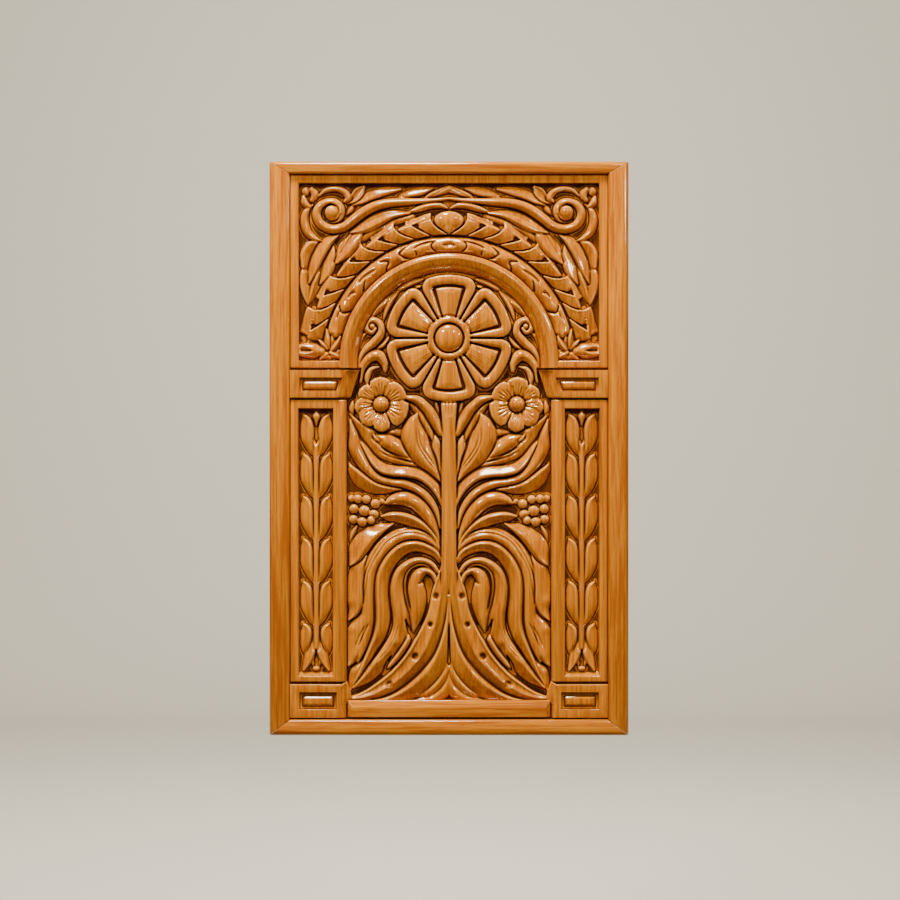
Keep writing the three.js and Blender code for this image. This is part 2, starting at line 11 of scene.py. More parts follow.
import bmesh
import bpy
import numpy as np
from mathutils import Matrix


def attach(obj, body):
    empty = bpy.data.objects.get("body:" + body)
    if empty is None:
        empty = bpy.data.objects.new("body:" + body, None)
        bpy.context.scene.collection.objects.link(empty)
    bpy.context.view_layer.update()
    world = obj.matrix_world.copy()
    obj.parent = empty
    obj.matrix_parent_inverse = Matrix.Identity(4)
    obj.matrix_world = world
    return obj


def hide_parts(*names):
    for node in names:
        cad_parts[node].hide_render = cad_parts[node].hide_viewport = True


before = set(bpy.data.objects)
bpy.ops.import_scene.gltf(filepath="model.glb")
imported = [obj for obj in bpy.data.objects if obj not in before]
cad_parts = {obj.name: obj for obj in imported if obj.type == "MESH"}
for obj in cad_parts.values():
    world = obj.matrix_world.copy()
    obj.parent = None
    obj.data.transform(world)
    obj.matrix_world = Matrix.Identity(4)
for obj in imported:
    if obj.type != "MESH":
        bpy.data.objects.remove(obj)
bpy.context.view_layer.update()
MM = 0.001

# %% [markdown]
# ## Sizes
# These are the same sizes in millimetres that the solids are drawn from. Depths are counted from the wall.

# %% Sizes in millimetres
PLAQUE_WIDTH = 360
PLAQUE_HEIGHT = 575
STILE_WIDTH = 20.5
TOP_RAIL_WIDTH = 12.5
BOTTOM_RAIL_WIDTH = 16
FRAME_DEPTH = 24.5
FRAME_ROUND = 6.5
REBATE_SHARE = 0.3
GAP = 0.3
GROOVE = 2.5
BOARD = 9

ARCH_GROUND = 2.7
BORDER_WIDTH = 8.7
BORDER_RISE = 7.5
CROWN_SPACE = 70
ARCH_OUTER = 110
ARCH_RING = 18
ARCH_RISE = 9.3
ARCH_FOOT = 5
BORDER_FOOT = 7

PILASTER_WIDTH = 56.5
PILASTER_FRONT = 11
PILASTER_OUTER_BAND = 8.8
PILASTER_INNER_BAND = 14
PILASTER_END_BAND = 9
PILASTER_FIELD_DEPTH = 7
CAPITAL_HEIGHT = 27.5
CAPITAL_FRONT = 13
CAPITAL_OVERHANG = 13.5
BASE_HEIGHT = 33
BASE_FRONT = 12
SILL_HEIGHT = 16.5
SILL_FRONT = 12

OPENING_HALF = PLAQUE_WIDTH / 2 - STILE_WIDTH
OPENING_TOP = PLAQUE_HEIGHT / 2 - TOP_RAIL_WIDTH
OPENING_BOTTOM = -PLAQUE_HEIGHT / 2 + BOTTOM_RAIL_WIDTH
INNER_HALF = OPENING_HALF - GAP
BLOCK_BACK = BOARD + GAP
ARCH_INNER = ARCH_OUTER - ARCH_RING
ARCH_Z = OPENING_TOP - GAP - BORDER_WIDTH - CROWN_SPACE - ARCH_OUTER
ARCH_BOTTOM = ARCH_Z - ARCH_FOOT
CAPITAL_TOP = ARCH_BOTTOM - GROOVE
CAPITAL_BOTTOM = CAPITAL_TOP - CAPITAL_HEIGHT
BASE_BOTTOM = OPENING_BOTTOM + GROOVE
BASE_TOP = BASE_BOTTOM + BASE_HEIGHT
PILASTER_TOP = CAPITAL_BOTTOM - GROOVE
PILASTER_BOTTOM = BASE_TOP + GROOVE
NICHE_HALF = INNER_HALF - PILASTER_WIDTH
SILL_TOP = BASE_BOTTOM + SILL_HEIGHT
GROUND = BLOCK_BACK + ARCH_GROUND
BORDER_FRONT = GROUND + BORDER_RISE
ARCH_FRONT = GROUND + ARCH_RISE
print("sizes ready, niche half width", NICHE_HALF, "arch centre", ARCH_Z)

# %% [markdown]
# ## Helpers
# A joiner cuts a length of moulding to a section, mitres its ends and lays it in place. Here the section is
# one flat face, which is extruded into a bar or raised level by level, and its sharp edges are then eased
# by a bevel.

# %% Helpers
# how sharply a surface turns before it counts as an edge or a corner, and how strong the painted highlight on
# an outer edge and the painted shade in an inner corner are there
TURN_LOW = 0.14
TURN_SPAN = 0.1
EDGE_HIGHLIGHT = 0.8
CORNER_SHADE = 0.45


def only(obj):
    """Selects one object alone and makes it the active one."""
    bpy.ops.object.select_all(action="DESELECT")
    obj.select_set(True)
    bpy.context.view_layer.objects.active = obj


def in_metres(x, depth, z):
    return (x * MM, -depth * MM, z * MM)


def at_depth(outline, depth):
    """The corners of an outline of (x, z) at one depth."""
    return [(x, depth, z) for x, z in outline]


def rectangle(left, right, bottom, top):
    return [(left, bottom), (right, bottom), (right, top), (left, top)]


def facing_out():
    """Turns every face of the edited mesh outwards and leaves edit mode."""
    bpy.ops.mesh.select_all(action="SELECT")
    bpy.ops.mesh.normals_make_consistent(inside=False)
    bpy.ops.object.mode_set(mode="OBJECT")


def store(mesh, attribute, values):
    """Stores one value per point under a name that the materials read."""
    mesh.attributes.new(attribute, "FLOAT", "POINT").data.foreach_set("value", values)


def face(name, corners):
    """One flat face through the corners, each (x, depth, z) in millimetres."""
    bpy.ops.object.select_all(action="DESELECT")
    bpy.ops.mesh.primitive_circle_add(vertices=len(corners), fill_type="NGON")
    obj = bpy.context.object
    obj.name = name
    for vertex, corner in zip(obj.data.vertices, corners):
        vertex.co = in_metres(*corner)
    return obj


def raised(name, levels):
    """A solid from one outline to the next, all with the same number of corners."""
    obj = face(name, levels[0])
    bpy.ops.object.mode_set(mode="EDIT")
    bpy.ops.mesh.select_mode(type="VERT")
    bpy.ops.mesh.select_all(action="SELECT")
    for lower, upper in zip(levels, levels[1:]):
        bpy.ops.mesh.extrude_region_move(TRANSFORM_OT_translate={"value": (0, 0, 0)})
        mesh = bmesh.from_edit_mesh(obj.data)
        moved = [v for v in mesh.verts if v.select]
        places = np.array([in_metres(*corner) for corner in lower])
        for vertex in moved:
            nearest = int(((places - np.array(vertex.co)) ** 2).sum(1).argmin())
            vertex.co = in_metres(*upper[nearest])
        bmesh.update_edit_mesh(obj.data)
    facing_out()
    return obj


def eased(obj, width, segments=3, angle=28):
    """Rounds the sharp edges over, as sanding and varnish do."""
    only(obj)
    bevel = obj.modifiers.new("eased edges", "BEVEL")
    bevel.width = width * MM
    bevel.segments = segments
    bevel.limit_method = "ANGLE"
    bevel.angle_limit = math.radians(angle)
    bpy.ops.object.modifier_apply(modifier=bevel.name)
    return obj


def softly_shaded(obj, angle=32):
    only(obj)
    bpy.ops.object.shade_smooth_by_angle(angle=math.radians(angle))
    return obj


def cut_away(obj, cutter):
    """Takes the cutter's shape out of the piece."""
    only(obj)
    difference = obj.modifiers.new("pocket", "BOOLEAN")
    difference.operation = "DIFFERENCE"
    difference.solver = "EXACT"
    difference.object = cutter
    bpy.ops.object.modifier_apply(modifier=difference.name)
    bpy.data.objects.remove(cutter)


def joined(name, pieces):
    bpy.ops.object.select_all(action="DESELECT")
    for piece in pieces:
        piece.select_set(True)
    bpy.context.view_layer.objects.active = pieces[0]
    bpy.ops.object.join()
    pieces[0].name = name
    return pieces[0]


def mirrored(obj, name):
    """The right-hand piece: a copy of the left one, mirrored across the middle."""
    only(obj)
    bpy.ops.object.duplicate()
    other = bpy.context.object
    other.name = name
    other.scale = (-1, 1, 1)
    bpy.ops.object.transform_apply(location=False, rotation=False, scale=True)
    bpy.ops.object.mode_set(mode="EDIT")
    facing_out()
    return other


def highlit_and_shaded(obj):
    """Paints a highlight on rounded outer edges and shade in inner corners, from how sharply they turn."""
    mesh = bmesh.new()
    mesh.from_mesh(obj.data)
    mesh.normal_update()
    edge_highlight = []
    corner_shade = []
    for vertex in mesh.verts:
        falls = []
        for edge in vertex.link_edges:
            along = edge.other_vert(vertex).co - vertex.co
            falls.append(-along.dot(vertex.normal) / max(along.length, 1e-7))
        falls.sort()
        # painted highlight: a lighter colour on convex edges, where the light catches them
        edge_highlight.append(min(max((sum(falls[-2:]) / 2 - TURN_LOW) / TURN_SPAN, 0), 1) * EDGE_HIGHLIGHT)
        # painted shade: a darker colour in concave corners, where shade falls
        corner_shade.append(min(max((-sum(falls[:2]) / 2 - TURN_LOW) / TURN_SPAN, 0), 1) * CORNER_SHADE)
    mesh.free()
    store(obj.data, "edge_highlight", edge_highlight)
    store(obj.data, "cuts", corner_shade)
    return obj


def finished(obj, width, segments=3, angle=28, shading=32):
    """Eases the edges, paints a highlight on them and shade in the inner corners, and shades the rest
    smoothly.
    """
    return softly_shaded(highlit_and_shaded(eased(obj, width, segments, angle)), shading)


def open_edges(obj):
    mesh = bmesh.new()
    mesh.from_mesh(obj.data)
    count = sum(1 for edge in mesh.edges if len(edge.link_faces) != 2)
    mesh.free()
    return count


PIECES = {}


def keep_piece(obj, node, slot):
    """Files a finished piece under the node that it stands for."""
    PIECES[node] = (obj, slot)
    triangles = sum(len(polygon.vertices) - 2 for polygon in obj.data.polygons)
    print(node, "triangles", triangles, "open edges", open_edges(obj))


def keep_pair(obj, name):
    """Files a left-hand block and its mirror image."""
    keep_piece(obj, name + "_left", "block_wood")
    keep_piece(mirrored(obj, "right " + name), name + "_right", "block_wood")

# %% [markdown]
# ## The frame
# Two upright stiles and two level rails of one moulding: a rounded outer edge, a flat face, and a rebate
# behind that laps over the back board. Each is a length of the section with its ends cut to the mitre.

# %% Frame moulding


def frame_section():
    """The moulding as (share of the width from outside in, depth)."""
    turns = 7
    outer = []
    for i in range(turns + 1):
        angle = math.pi / 2 * i / turns
        outer.append((0.5 * (1 - math.cos(angle)), FRAME_DEPTH - FRAME_ROUND * (1 - math.sin(angle)) ** 1.3))
    return [(0, 0), *outer, (0.86, FRAME_DEPTH), (0.95, FRAME_DEPTH - 0.7), (1, FRAME_DEPTH - 2.4),
            (1, BLOCK_BACK), (1 - REBATE_SHARE, BLOCK_BACK), (1 - REBATE_SHARE, 0)]


def stile(name):
    ends = []
    for sign, rail_width in ((-1, BOTTOM_RAIL_WIDTH), (1, TOP_RAIL_WIDTH)):
        ends.append([(-(PLAQUE_WIDTH / 2 - share * STILE_WIDTH), depth,
                      sign * (PLAQUE_HEIGHT / 2 - share * rail_width - GAP))
                     for share, depth in frame_section()])
    return raised(name, ends)


def rail(name, sign, rail_width):
    ends = []
    for side in (-1, 1):
        ends.append([(side * (PLAQUE_WIDTH / 2 - share * STILE_WIDTH - GAP), depth,
                      sign * (PLAQUE_HEIGHT / 2 - share * rail_width)) for share, depth in frame_section()])
    return raised(name, ends)


left_stile = finished(stile("left stile"), 0.5)
keep_piece(left_stile, "frame_left_stile", "frame_wood")
keep_piece(mirrored(left_stile, "right stile"), "frame_right_stile", "frame_wood")
keep_piece(finished(rail("top rail", 1, TOP_RAIL_WIDTH), 0.5), "frame_top_rail", "frame_wood")
keep_piece(finished(rail("bottom rail", -1, BOTTOM_RAIL_WIDTH), 0.5), "frame_bottom_rail", "frame_wood")

# %% [markdown]
# ## How the carving is made
# A carver draws the design on the board, grounds out round it, and then models each leaf with a gouge: the
# leaf above is cut over the one below, with a fine dark cut round its edge. The same order is kept here. A
# sheet of heights stands for the board, and each leaf, strand or bead is laid over the earlier ones by its
# middle line, its half width along that line and the section of the gouge cut. The plaque is symmetrical,
# so only the left half is drawn and the right half is its mirror image. Sheet coordinates are millimetres:
# x to the right with the axis of the plaque at 450, and y downwards.

# %% Carving tools
AXIS = 450
LEVEL = 448.2
CELL = 0.5
TOOL_MARK = 0.11
# a cut is this wide at its soft edge, lies this far out, spreads this much, and never goes deeper than the
# floor
SOFT_EDGE = 0.45
MOAT_PLACE = 0.9
MOAT_SPREAD = 0.65
WALL_SLOPE = 4.5
FLOOR = -0.4


class Sheet:
    """The left half of a carved surface and its height over the ground."""

    def __init__(self, left, top, right, bottom):
        self.x = np.arange(left, right + CELL / 2, CELL)
        self.y = np.arange(top, bottom + CELL / 2, CELL)
        self.X, self.Y = np.meshgrid(self.x, self.y)
        self.h = np.zeros_like(self.X)

    def window(self, pts, pad):
        x0, x1 = np.searchsorted(self.x, [pts[:, 0].min() - pad, pts[:, 0].max() + pad])
        y0, y1 = np.searchsorted(self.y, [pts[:, 1].min() - pad, pts[:, 1].max() + pad])
        return slice(max(y0, 0), y1), slice(max(x0, 0), x1)


def smooth_line(nodes, step=0.6):
    """Catmull-Rom line through [x, y, half width] nodes, in even steps."""
    p = np.array(nodes, float)
    p = np.vstack([2 * p[0] - p[1], p, 2 * p[-1] - p[-2]])
    out = []
    for a, b, c, d in zip(p[:-3], p[1:-2], p[2:-1], p[3:]):
        n = max(2, int(np.hypot(*(c - b)[:2]) / step))
        t = np.linspace(0, 1, n, endpoint=False)[:, None]
        out.append(0.5 * (2 * b + (c - a) * t + (2 * a - 5 * b + 4 * c - d) * t ** 2
                          + (3 * b - a - 3 * c + d) * t ** 3))
    out.append(p[-2:-1])
    pts = np.vstack(out)
    pts[:, 2] = np.maximum(pts[:, 2], 0.25)
    return pts


def ease(v):
    """A soft step from 0 to 1."""
    v = np.clip(v, 0, 1)
    return v * v * (3 - 2 * v)


def leaning(u):
    """A leaf whose crest lies left of its middle line, with a long hollow fall to the right."""
    beside = np.abs(u + 0.45)
    return np.where(u < -0.45, 1 - 0.65 * (beside / 0.55) ** 2, 1 - 0.72 * (beside / 1.45) ** 1.15)


PROFILES = {
    # share of the rise at u, the share of the half width: -1 is the left edge along the line, 1 the right one
    "round": lambda u: 0.15 + 0.85 * np.clip(1 - u * u, 0, 1) ** 0.75,
    "ridge": lambda u: 0.25 + 0.75 * (1 - np.abs(u)) ** 1.1,
    "scoop": lambda u: 0.45 + 0.3 * u * u + 0.25 * np.exp(-((np.abs(u) - 0.86) / 0.16) ** 2),
    "left": leaning,
    "right": lambda u: leaning(-u),
    "leg": lambda u: (0.7 + 0.22 * np.exp(-((u - 0.88) / 0.09) ** 2)
                      + 0.24 * np.exp(-((u + 0.08) / 0.26) ** 2) - 0.46 * np.clip(-0.08 - u, 0, 1) ** 1.3),
}


def measure(sheet, nodes, pad):
    """Points near a line: distance, side, half width and share of its length there, and the widest half."""
    pts = smooth_line(nodes)
    win = sheet.window(pts, pts[:, 2].max() + pad)
    shape = sheet.X[win].shape
    flat = np.stack([sheet.X[win].ravel(), sheet.Y[win].ravel()], 1)
    tangent = np.gradient(pts[:, :2], axis=0)
    d2 = ((flat[:, None, :] - pts[None, :, :2]) ** 2).sum(2)
    near = d2.argmin(1)
    off = flat - pts[near, :2]
    dist = np.sqrt(d2[np.arange(len(flat)), near])
    side = np.sign(tangent[near, 0] * off[:, 1] - tangent[near, 1] * off[:, 0])
    share = near / (len(pts) - 1)
    return win, *(values.reshape(shape) for values in (dist, side, pts[near, 2], share)), pts[:, 2].max()


def carve(sheet, kind, rise, *nodes, over=True, moat=1.2):
    """One leaf or strand: laid over what is there, with a fine cut round it, or only joined to it."""
    win, dist, side, half, share, widest = measure(sheet, nodes, 3.0)
    body = rise * (0.5 + 0.5 * np.sqrt(np.clip(half / widest, 0, 1)))
    tool_marks = TOOL_MARK * np.sin(3.1 * side * dist + 2.2 * np.sin(share * 11 + widest)) * (half > 1.5)
    height = body * PROFILES[kind](np.clip(side * dist / half, -1, 1)) + tool_marks
    edge = body * PROFILES[kind](np.sign(side))
    wall = edge - (dist - half) * WALL_SLOPE
    old = sheet.h[win]
    if over:
        cover = ease((half + SOFT_EDGE - dist) / (2 * SOFT_EDGE))
        new = old * (1 - cover) + np.where(dist <= half, height, edge) * cover
        new = np.maximum(new, np.where(dist > half, np.minimum(wall, edge), new))
        beside = moat * np.clip(old / 2, 0.15, 1)
        beside = beside * np.exp(-((dist - half - MOAT_PLACE) / MOAT_SPREAD) ** 2)
        new = new - np.where(dist > half, beside, 0)
    else:
        new = np.maximum(old, np.where(dist <= half, height, wall))
    sheet.h[win] = np.maximum(new, FLOOR)


def cut(sheet, depth, *nodes):
    """A groove along a line, as deep as said, with its half width in the nodes."""
    win, dist, side, half, share, widest = measure(sheet, nodes, 1.5)
    ends = ease(share / 0.12) * ease((1 - share) / 0.12)
    sheet.h[win] = np.maximum(sheet.h[win] - depth * np.exp(-(dist / half) ** 2) * (0.4 + 0.6 * ends), FLOOR)


def knob(sheet, x, y, radius, rise, squash=1.0, moat=1.4):
    """A bead, with a fine cut round it. Its height on the sheet can be squashed."""
    win = sheet.window(np.array([[x, y, 0]]), radius + 3)
    d = np.hypot(sheet.X[win] - x, (sheet.Y[win] - y) / squash)
    top = rise * (0.3 + 0.7 * np.sqrt(np.clip(1 - (d / radius) ** 2, 0, 1)))
    cover = ease((radius + SOFT_EDGE - d) / (2 * SOFT_EDGE))
    new = sheet.h[win] * (1 - cover) + top * cover
    new = new - np.where(d > radius, moat * np.exp(-((d - radius - 0.8) / MOAT_SPREAD) ** 2), 0)
    sheet.h[win] = np.maximum(new, FLOOR)


def dimple(sheet, x, y, radius, depth):
    """A round pit with steep sides."""
    win = sheet.window(np.array([[x, y, 0]]), radius + 2)
    d = np.hypot(sheet.X[win] - x, sheet.Y[win] - y)
    sheet.h[win] -= depth * np.exp(-(d / radius) ** 6)


def draw(sheet, strokes, place=lambda *node: node):
    """Carves a list of strokes: kind, rise or depth, maybe settings, then nodes of x, y and half width."""
    for stroke in strokes.split(";"):
        head, line = stroke.split(":")
        kind, rise, *settings = head.split()
        nodes = [place(*(float(value) for value in node.split())) for node in line.split(",")]
        named = {"over": False} if "joined" in settings else {}
        for name in ("moat", "squash"):
            if name in settings:
                named[name] = float(settings[settings.index(name) + 1])
        if kind == "cut":
            cut(sheet, float(rise), *nodes)
        elif kind == "knob":
            knob(sheet, *nodes[0], float(rise), **named)
        else:
            carve(sheet, kind, float(rise), *nodes, **named)


print("profiles", sorted(PROFILES))

# %% [markdown]
# ## The design of the plant
# Each line is one cut of the carver, from the lowest leaf to the topmost strand.

# %% Plant
DIMPLE_DEPTH = 2.6
TRUNK_TOP = 401
TRUNK_PARTS = 560
TRUNK_RISE = 9.4
FLOWER = (450, 337.4)
PETAL_END = 64.0
PETAL_HALF_ANGLE = 29.7
PETAL_CORNER = 13.0
EYE_RING = 22.0
EYE_DOME = 14.3
SMALL_FLOWER = (381.8, 403.8)


def plant_sheet():
    """The left half of the plant."""
    s = Sheet(345, 268, 450, 704)
    # low leaves and bits at the back
    draw(s, """
    ridge 5: 424 278 1.5, 413 282 3.2, 403 287 3, 397 291 1;
    ridge 5: 427 283 1, 415 288 3, 402 295 1;
    ridge 5.5: 397 291 1, 389 300 4, 379 307 4.8, 373 315 2;
    ridge 5.5: 399 291 1, 392 300 3, 387 310 2.8, 384 320 1;
    ridge 5: 367 332 1, 361 338 2.6, 358 348 2.2, 357 360 1;
    ridge 5.5: 391 333 1, 386 342 3, 378 348 2.4, 372 351 1;
    round 5.5: 353 401 1.5, 352.5 408 3.6, 352.5 416 1.2;
    ridge 5.5: 411 400 1, 415 407 4, 418 415 1.5;
    round 4.5: 436 398 1, 438 408 3, 440 418 1.2""")
    # scrolls beside the flower
    draw(s, """
    round 8: 376 327.5 2.4, 372 331.5 2.8, 367.5 327.5 3.2, 368.5 321.5 3.4, 374.5 319.3 3.7,
      380.5 323.5 4.3, 381.5 332 4.8, 375 341 4.8, 367 349 4.6, 362.8 358 4, 361.5 368 3, 361.5 378 1.5;
    knob 8 moat 0.8: 373 325.4 3;
    round 8: 361 381 2, 363 367 4, 370 357 5.8, 379 355 6.4, 385 362 5, 386 370 2.5;
    round 6.5: 380 366 1, 372 368.5 2.8, 368 376 3.4, 368 384 2;
    round 4.4: 409 402 2, 417 408 4.6, 425 419 5.4, 431 432 4, 436 444 2;
    round 4.2: 388 433 1.5, 397 432 4.2, 405 434 4.2, 411 444 2""")
    # leaves above the strands
    draw(s, """
    left 6.2: 350 413.5 0.8, 358 424 4.5, 366 432 7, 374 440 9, 385 450 9, 400 458 6.5, 425 468 3;
    round 7.5: 376 436.5 3, 387 441 8, 399 448 8.5, 412 456 6, 426 466 2;
    round 5.5: 373.5 433 0.8, 376.5 438 2.2, 380.5 441 1.2;
    cut 2.2: 382 447 0.8, 391 452 0.9, 401 455.5 0.9, 413 458.5 0.7;
    cut 2.2: 381 451 0.8, 390 456 0.9, 401 459 0.9, 412 461.5 0.7;
    round 8: 436 434.5 0.5, 437.5 443 4.8, 437.5 456 6.2, 439.5 470 4.8, 443 484 1;
    round 8.5 moat 0.5: 418 412.5 0.6, 414.5 423 8.5, 414.5 435 13.5, 420 449 13, 429.5 463 9.5, 441 481 1.5;
    cut 2.2: 417.5 429 0.7, 418 440 0.9, 421.5 450 0.9, 428.5 460.5 0.9, 436.5 470 0.6;
    cut 2.2: 420.3 431 0.6, 420.8 440 0.8, 424.3 449 0.8, 431 459 0.8, 437.5 468 0.5;
    cut 1.4: 430.5 436 0.6, 431.5 443 1, 432.5 449 0.5""")
    # long strands that droop to the left
    draw(s, """
    right 8.6: 357 435.5 0.6, 365 447.5 3.2, 372 458.5 4.6, 382 467.8 5.6, 394 471 5.6, 408 472 5.6,
      422 475.5 5.6, 434 484.5 5.4, 441.5 497 4, 445 510 2;
    left 7.2: 349.5 463.5 0.8, 353.5 471 5, 361 479 8, 372 485.5 7.6, 385 489 5, 402 490 1.5;
    round 8.2: 350.5 419 0.8, 354 434 4.6, 356 448 7, 362 460 6.8, 369 470 5.6, 379 478.5 4.6, 392 482.3 4.2,
      405 484 4.6, 417 489 5, 428 498 5.2, 436 511 4.6, 441 528 2.5""")
    # leaves under the strands
    draw(s, """
    round 8.4: 385.5 503.5 1.5, 393 500 5.4, 404 498.5 7.6, 415 502 8, 425 511 7.6, 432 523 6.6, 438 540 4,
      442 556 1.2;
    left 7.8: 381.5 516.5 0.8, 391 517 5, 402 518 5.8, 413 521.5 6, 424 528 5.4, 434 538 4, 441 550 1.2""")
    # berries
    for x, y, r in ((352, 498.5, 4), (358.5, 499, 4.8), (367, 499.5, 4.8), (382.5, 501.5, 3.2),
                    (376, 504, 5.2), (354.5, 509, 5.2), (365, 511, 6), (374.5, 514.5, 5.2),
                    (354, 519.5, 5), (371.5, 520.5, 4.6), (362.8, 522, 5.2)):
        knob(s, x, y, r, 6.4)
    draw(s, """
    ridge 5.5: 357 526.5 1.5, 353.5 533 3, 350.5 542 1""")
    # broad frond: outer leaves, then the band with its two veins
    draw(s, """
    left 7.2: 362 662 1, 356.5 671 5, 353.5 681 4.5, 351 691 1;
    left 7.6: 370 605 1, 362 620 7, 356 636 9.5, 354 650 9, 351 660 6, 346 669 1;
    left 7.6: 367 555 1, 359 568 7, 357 584 9, 356.5 600 9, 355 611 6, 349 621 1;
    left 7.6: 394 523.5 1, 380 529.5 6, 369 537 9, 360.5 547 10, 356 557 7, 350.5 566 1;
    round 7.8 joined: 443 554 1.5, 432 541.5 5, 418 535 7, 404 536 8, 391.5 542.5 9, 381 553 9.5, 373 568 9,
      369.5 586 8.5, 369 605 8, 368 625 7.5, 364 645 6, 358 662 2""")
    for shift in (0.0, 4.0):
        cut(s, 2.2, (437, 541 + shift * 0.6, 0.6), (429, 533.5 + shift * 0.8, 0.8), (419, 529.5 + shift, 0.9),
            (409, 529 + shift, 0.9), (400, 531 + shift, 0.9), (391, 535.5 + shift, 0.9),
            (383 + shift * 0.4, 542 + shift * 0.8, 0.9), (376.5 + shift * 0.8, 551 + shift * 0.4, 0.9),
            (370.5 + shift * 0.8, 562, 0.9), (365.8 + shift * 0.7, 574, 0.9), (363.8 + shift * 0.6, 588, 0.9),
            (364, 604, 0.5))
    draw(s, """
    cut 2.2: 369.3 624 0.6, 363.5 636 0.9, 358.6 648 0.6;
    cut 2: 365.4 627 0.6, 360 637 0.9, 356 647 0.6;
    right 8.8: 445 569 1.5, 437 555 4.2, 427 548.8 5.2, 416 546.3 5.8, 405 548.5 6.6, 396 555 7,
      388.5 565 7.4, 383.5 578 7.6, 382.8 595 7.8, 383.6 610 8, 383 624 7.4, 379.5 637 6.4, 373.5 649 5,
      367.5 661 4, 361 675 3.5, 353 688 1;
    round 8.4: 386.5 671 1.2, 391.5 662.5 5, 399 650.5 7.6, 406 638 7, 409 626 3;
    right 8.4: 441 576 2, 432 566 4.4, 421 562.5 5.2, 411 566 6.4, 403 574.5 8, 399.5 587 8.8, 400.5 601 9.4,
      403 616 9.8, 402 629 9, 397 641 8.2, 389 653 7.8, 379.5 665.5 7.4, 368 678 6, 354 689 1.2;
    cut 1.6: 399.5 626 0.6, 393.5 641 1, 385 653.5 1, 377 662 0.6;
    round 9 joined: 437 583 2, 434 574.5 3.6, 426.5 570.8 4.6, 419 576.5 7, 417.4 589 9.6, 418.2 604 9.8,
      416.6 618 7, 414 633 0.8""")
    for shift in (0.0, 3.6):
        cut(s, 2.4, (437, 575, 0.6), (431.5, 567 + shift * 0.8, 0.8), (423, 563.5 + shift, 0.9),
            (414.5, 565.5 + shift, 0.9), (407.5 + shift * 0.8, 571.5 + shift * 0.5, 0.9),
            (404.5 + shift, 580, 0.9), (404.3 + shift, 591, 0.9), (406.5 + shift, 603, 0.9),
            (409 + shift, 614, 0.5))
    draw(s, """
    cut 5: 392 656 0.6, 388 663 1.4, 386.5 669 2.2, 388.5 675 2.6;
    cut 2.2: 382 653 0.6, 388 645 1, 393 636 0.9, 395.5 627 0.5""")
    # swellings near the leaf tips
    for x, y, reach, lift in ((398, 643, 5, 1.6), (391, 653, 5, 1.2), (376, 660, 5, 1.2), (353, 629, 5, 1.6),
                              (357, 656, 5, 1.3), (352, 671, 4, 1.3), (354, 566, 5, 1.2), (352, 601, 5, 1.0)):
        s.h = s.h + lift * np.exp(-((s.X - x) ** 2 + (s.Y - y) ** 2) / reach ** 2) * ease(s.h / 3)
    # the legs of the trunk
    draw(s, """
    round 5.2 moat 0: 451 672 5, 444 690 9, 424 699 7, 396 703 3;
    right 7.6: 450.5 650 1, 447 668 4.4, 440 681 7, 429 691.5 6.4, 412 699.5 1;
    right 8.8 moat 1.6: 450 596 1, 448.5 622 4, 446 643 7.4, 440.5 661 9.2, 428 679 9.4, 411 692.5 8.2,
      391 700.5 4.5, 368 703 1;
    leg 9.2 moat 0.7: 447.5 548 2, 446 566 4, 443.5 582 6.5, 440 600 9.2, 434.6 624 11.4, 425.5 648 12.4,
      413.5 665 11.4, 397 681 9.8, 378 692.5 7.2, 364 697.5 4.2, 351 699.5 1.5""")
    for x, y, r in ((437, 596.5, 3.3), (431.5, 625, 2.86), (416, 657, 3.74), (390.5, 685, 3.52)):
        dimple(s, x, y, r, DIMPLE_DEPTH)
    draw(s, """
    cut 7: 420.4 583.5 1.1, 424.6 581.4 2.5, 428.4 585.4 2.9, 430.4 594 2.1, 429.4 606 1.4, 425.4 619 1.3,
      419.8 630 1.6, 413.5 637 2.2, 409 629 1.4, 406.5 620.5 0.8""")
    # arm and trunk
    draw(s, """
    round 8.8: 406 396.5 2.5, 418 399.5 5, 428 408 6, 435.5 420 6, 441.5 432 4, 445 438 1.2""")
    trunk(s)
    for x in (-4.6, 0, 4.6):
        cut(s, 1.6, (AXIS + x, 400, 0.9), (AXIS + x * 0.7, 407, 0.9), (AXIS + x * 0.5, 416, 0.5))
    great_flower(s)
    small_flower(s)
    return s


def trunk(s):
    """The round trunk, which fades where it parts, with a slit between its legs."""
    d = np.abs(s.X - AXIS)
    half = np.interp(s.Y, [400, 402, 420, 433, 440, 470, 560, 600, 625, 640],
                     [8.8, 8.6, 7.2, 6.6, 7.2, 7.6, 7.8, 8, 6, 0.3])
    top = TRUNK_RISE * (0.45 + 0.55 * np.sqrt(np.clip(1 - (d / half) ** 2, 0, 1)))
    present = ((s.Y > TRUNK_TOP) & (s.Y < 640)) * (1 - ease((s.Y - TRUNK_PARTS) / 60))
    cover = ease((half + 0.4 - d) / 0.8) * present
    new = s.h * (1 - cover) + top * cover
    moat = 1.6 * np.exp(-((d - half - 0.8) / 0.7) ** 2) * (d > half) * present
    s.h = np.maximum(new - moat, FLOOR)
    width = np.interp(s.Y, [622, 640, 664, 668], [0.7, 1.1, 1.5, 0.6])
    slit = 5.0 * np.exp(-((s.X - AXIS) / width) ** 2) * ease((s.Y - 622) / 10) * ease((668 - s.Y) / 6)
    s.h = np.maximum(s.h - slit, FLOOR)


def petal_field(s, middle, angle):
    """Distances along and across a petal that points at the angle."""
    a = np.deg2rad(angle)
    dx = s.X - middle[0]
    dy = middle[1] - s.Y
    return dx * np.cos(a) + dy * np.sin(a), -dx * np.sin(a) + dy * np.cos(a)


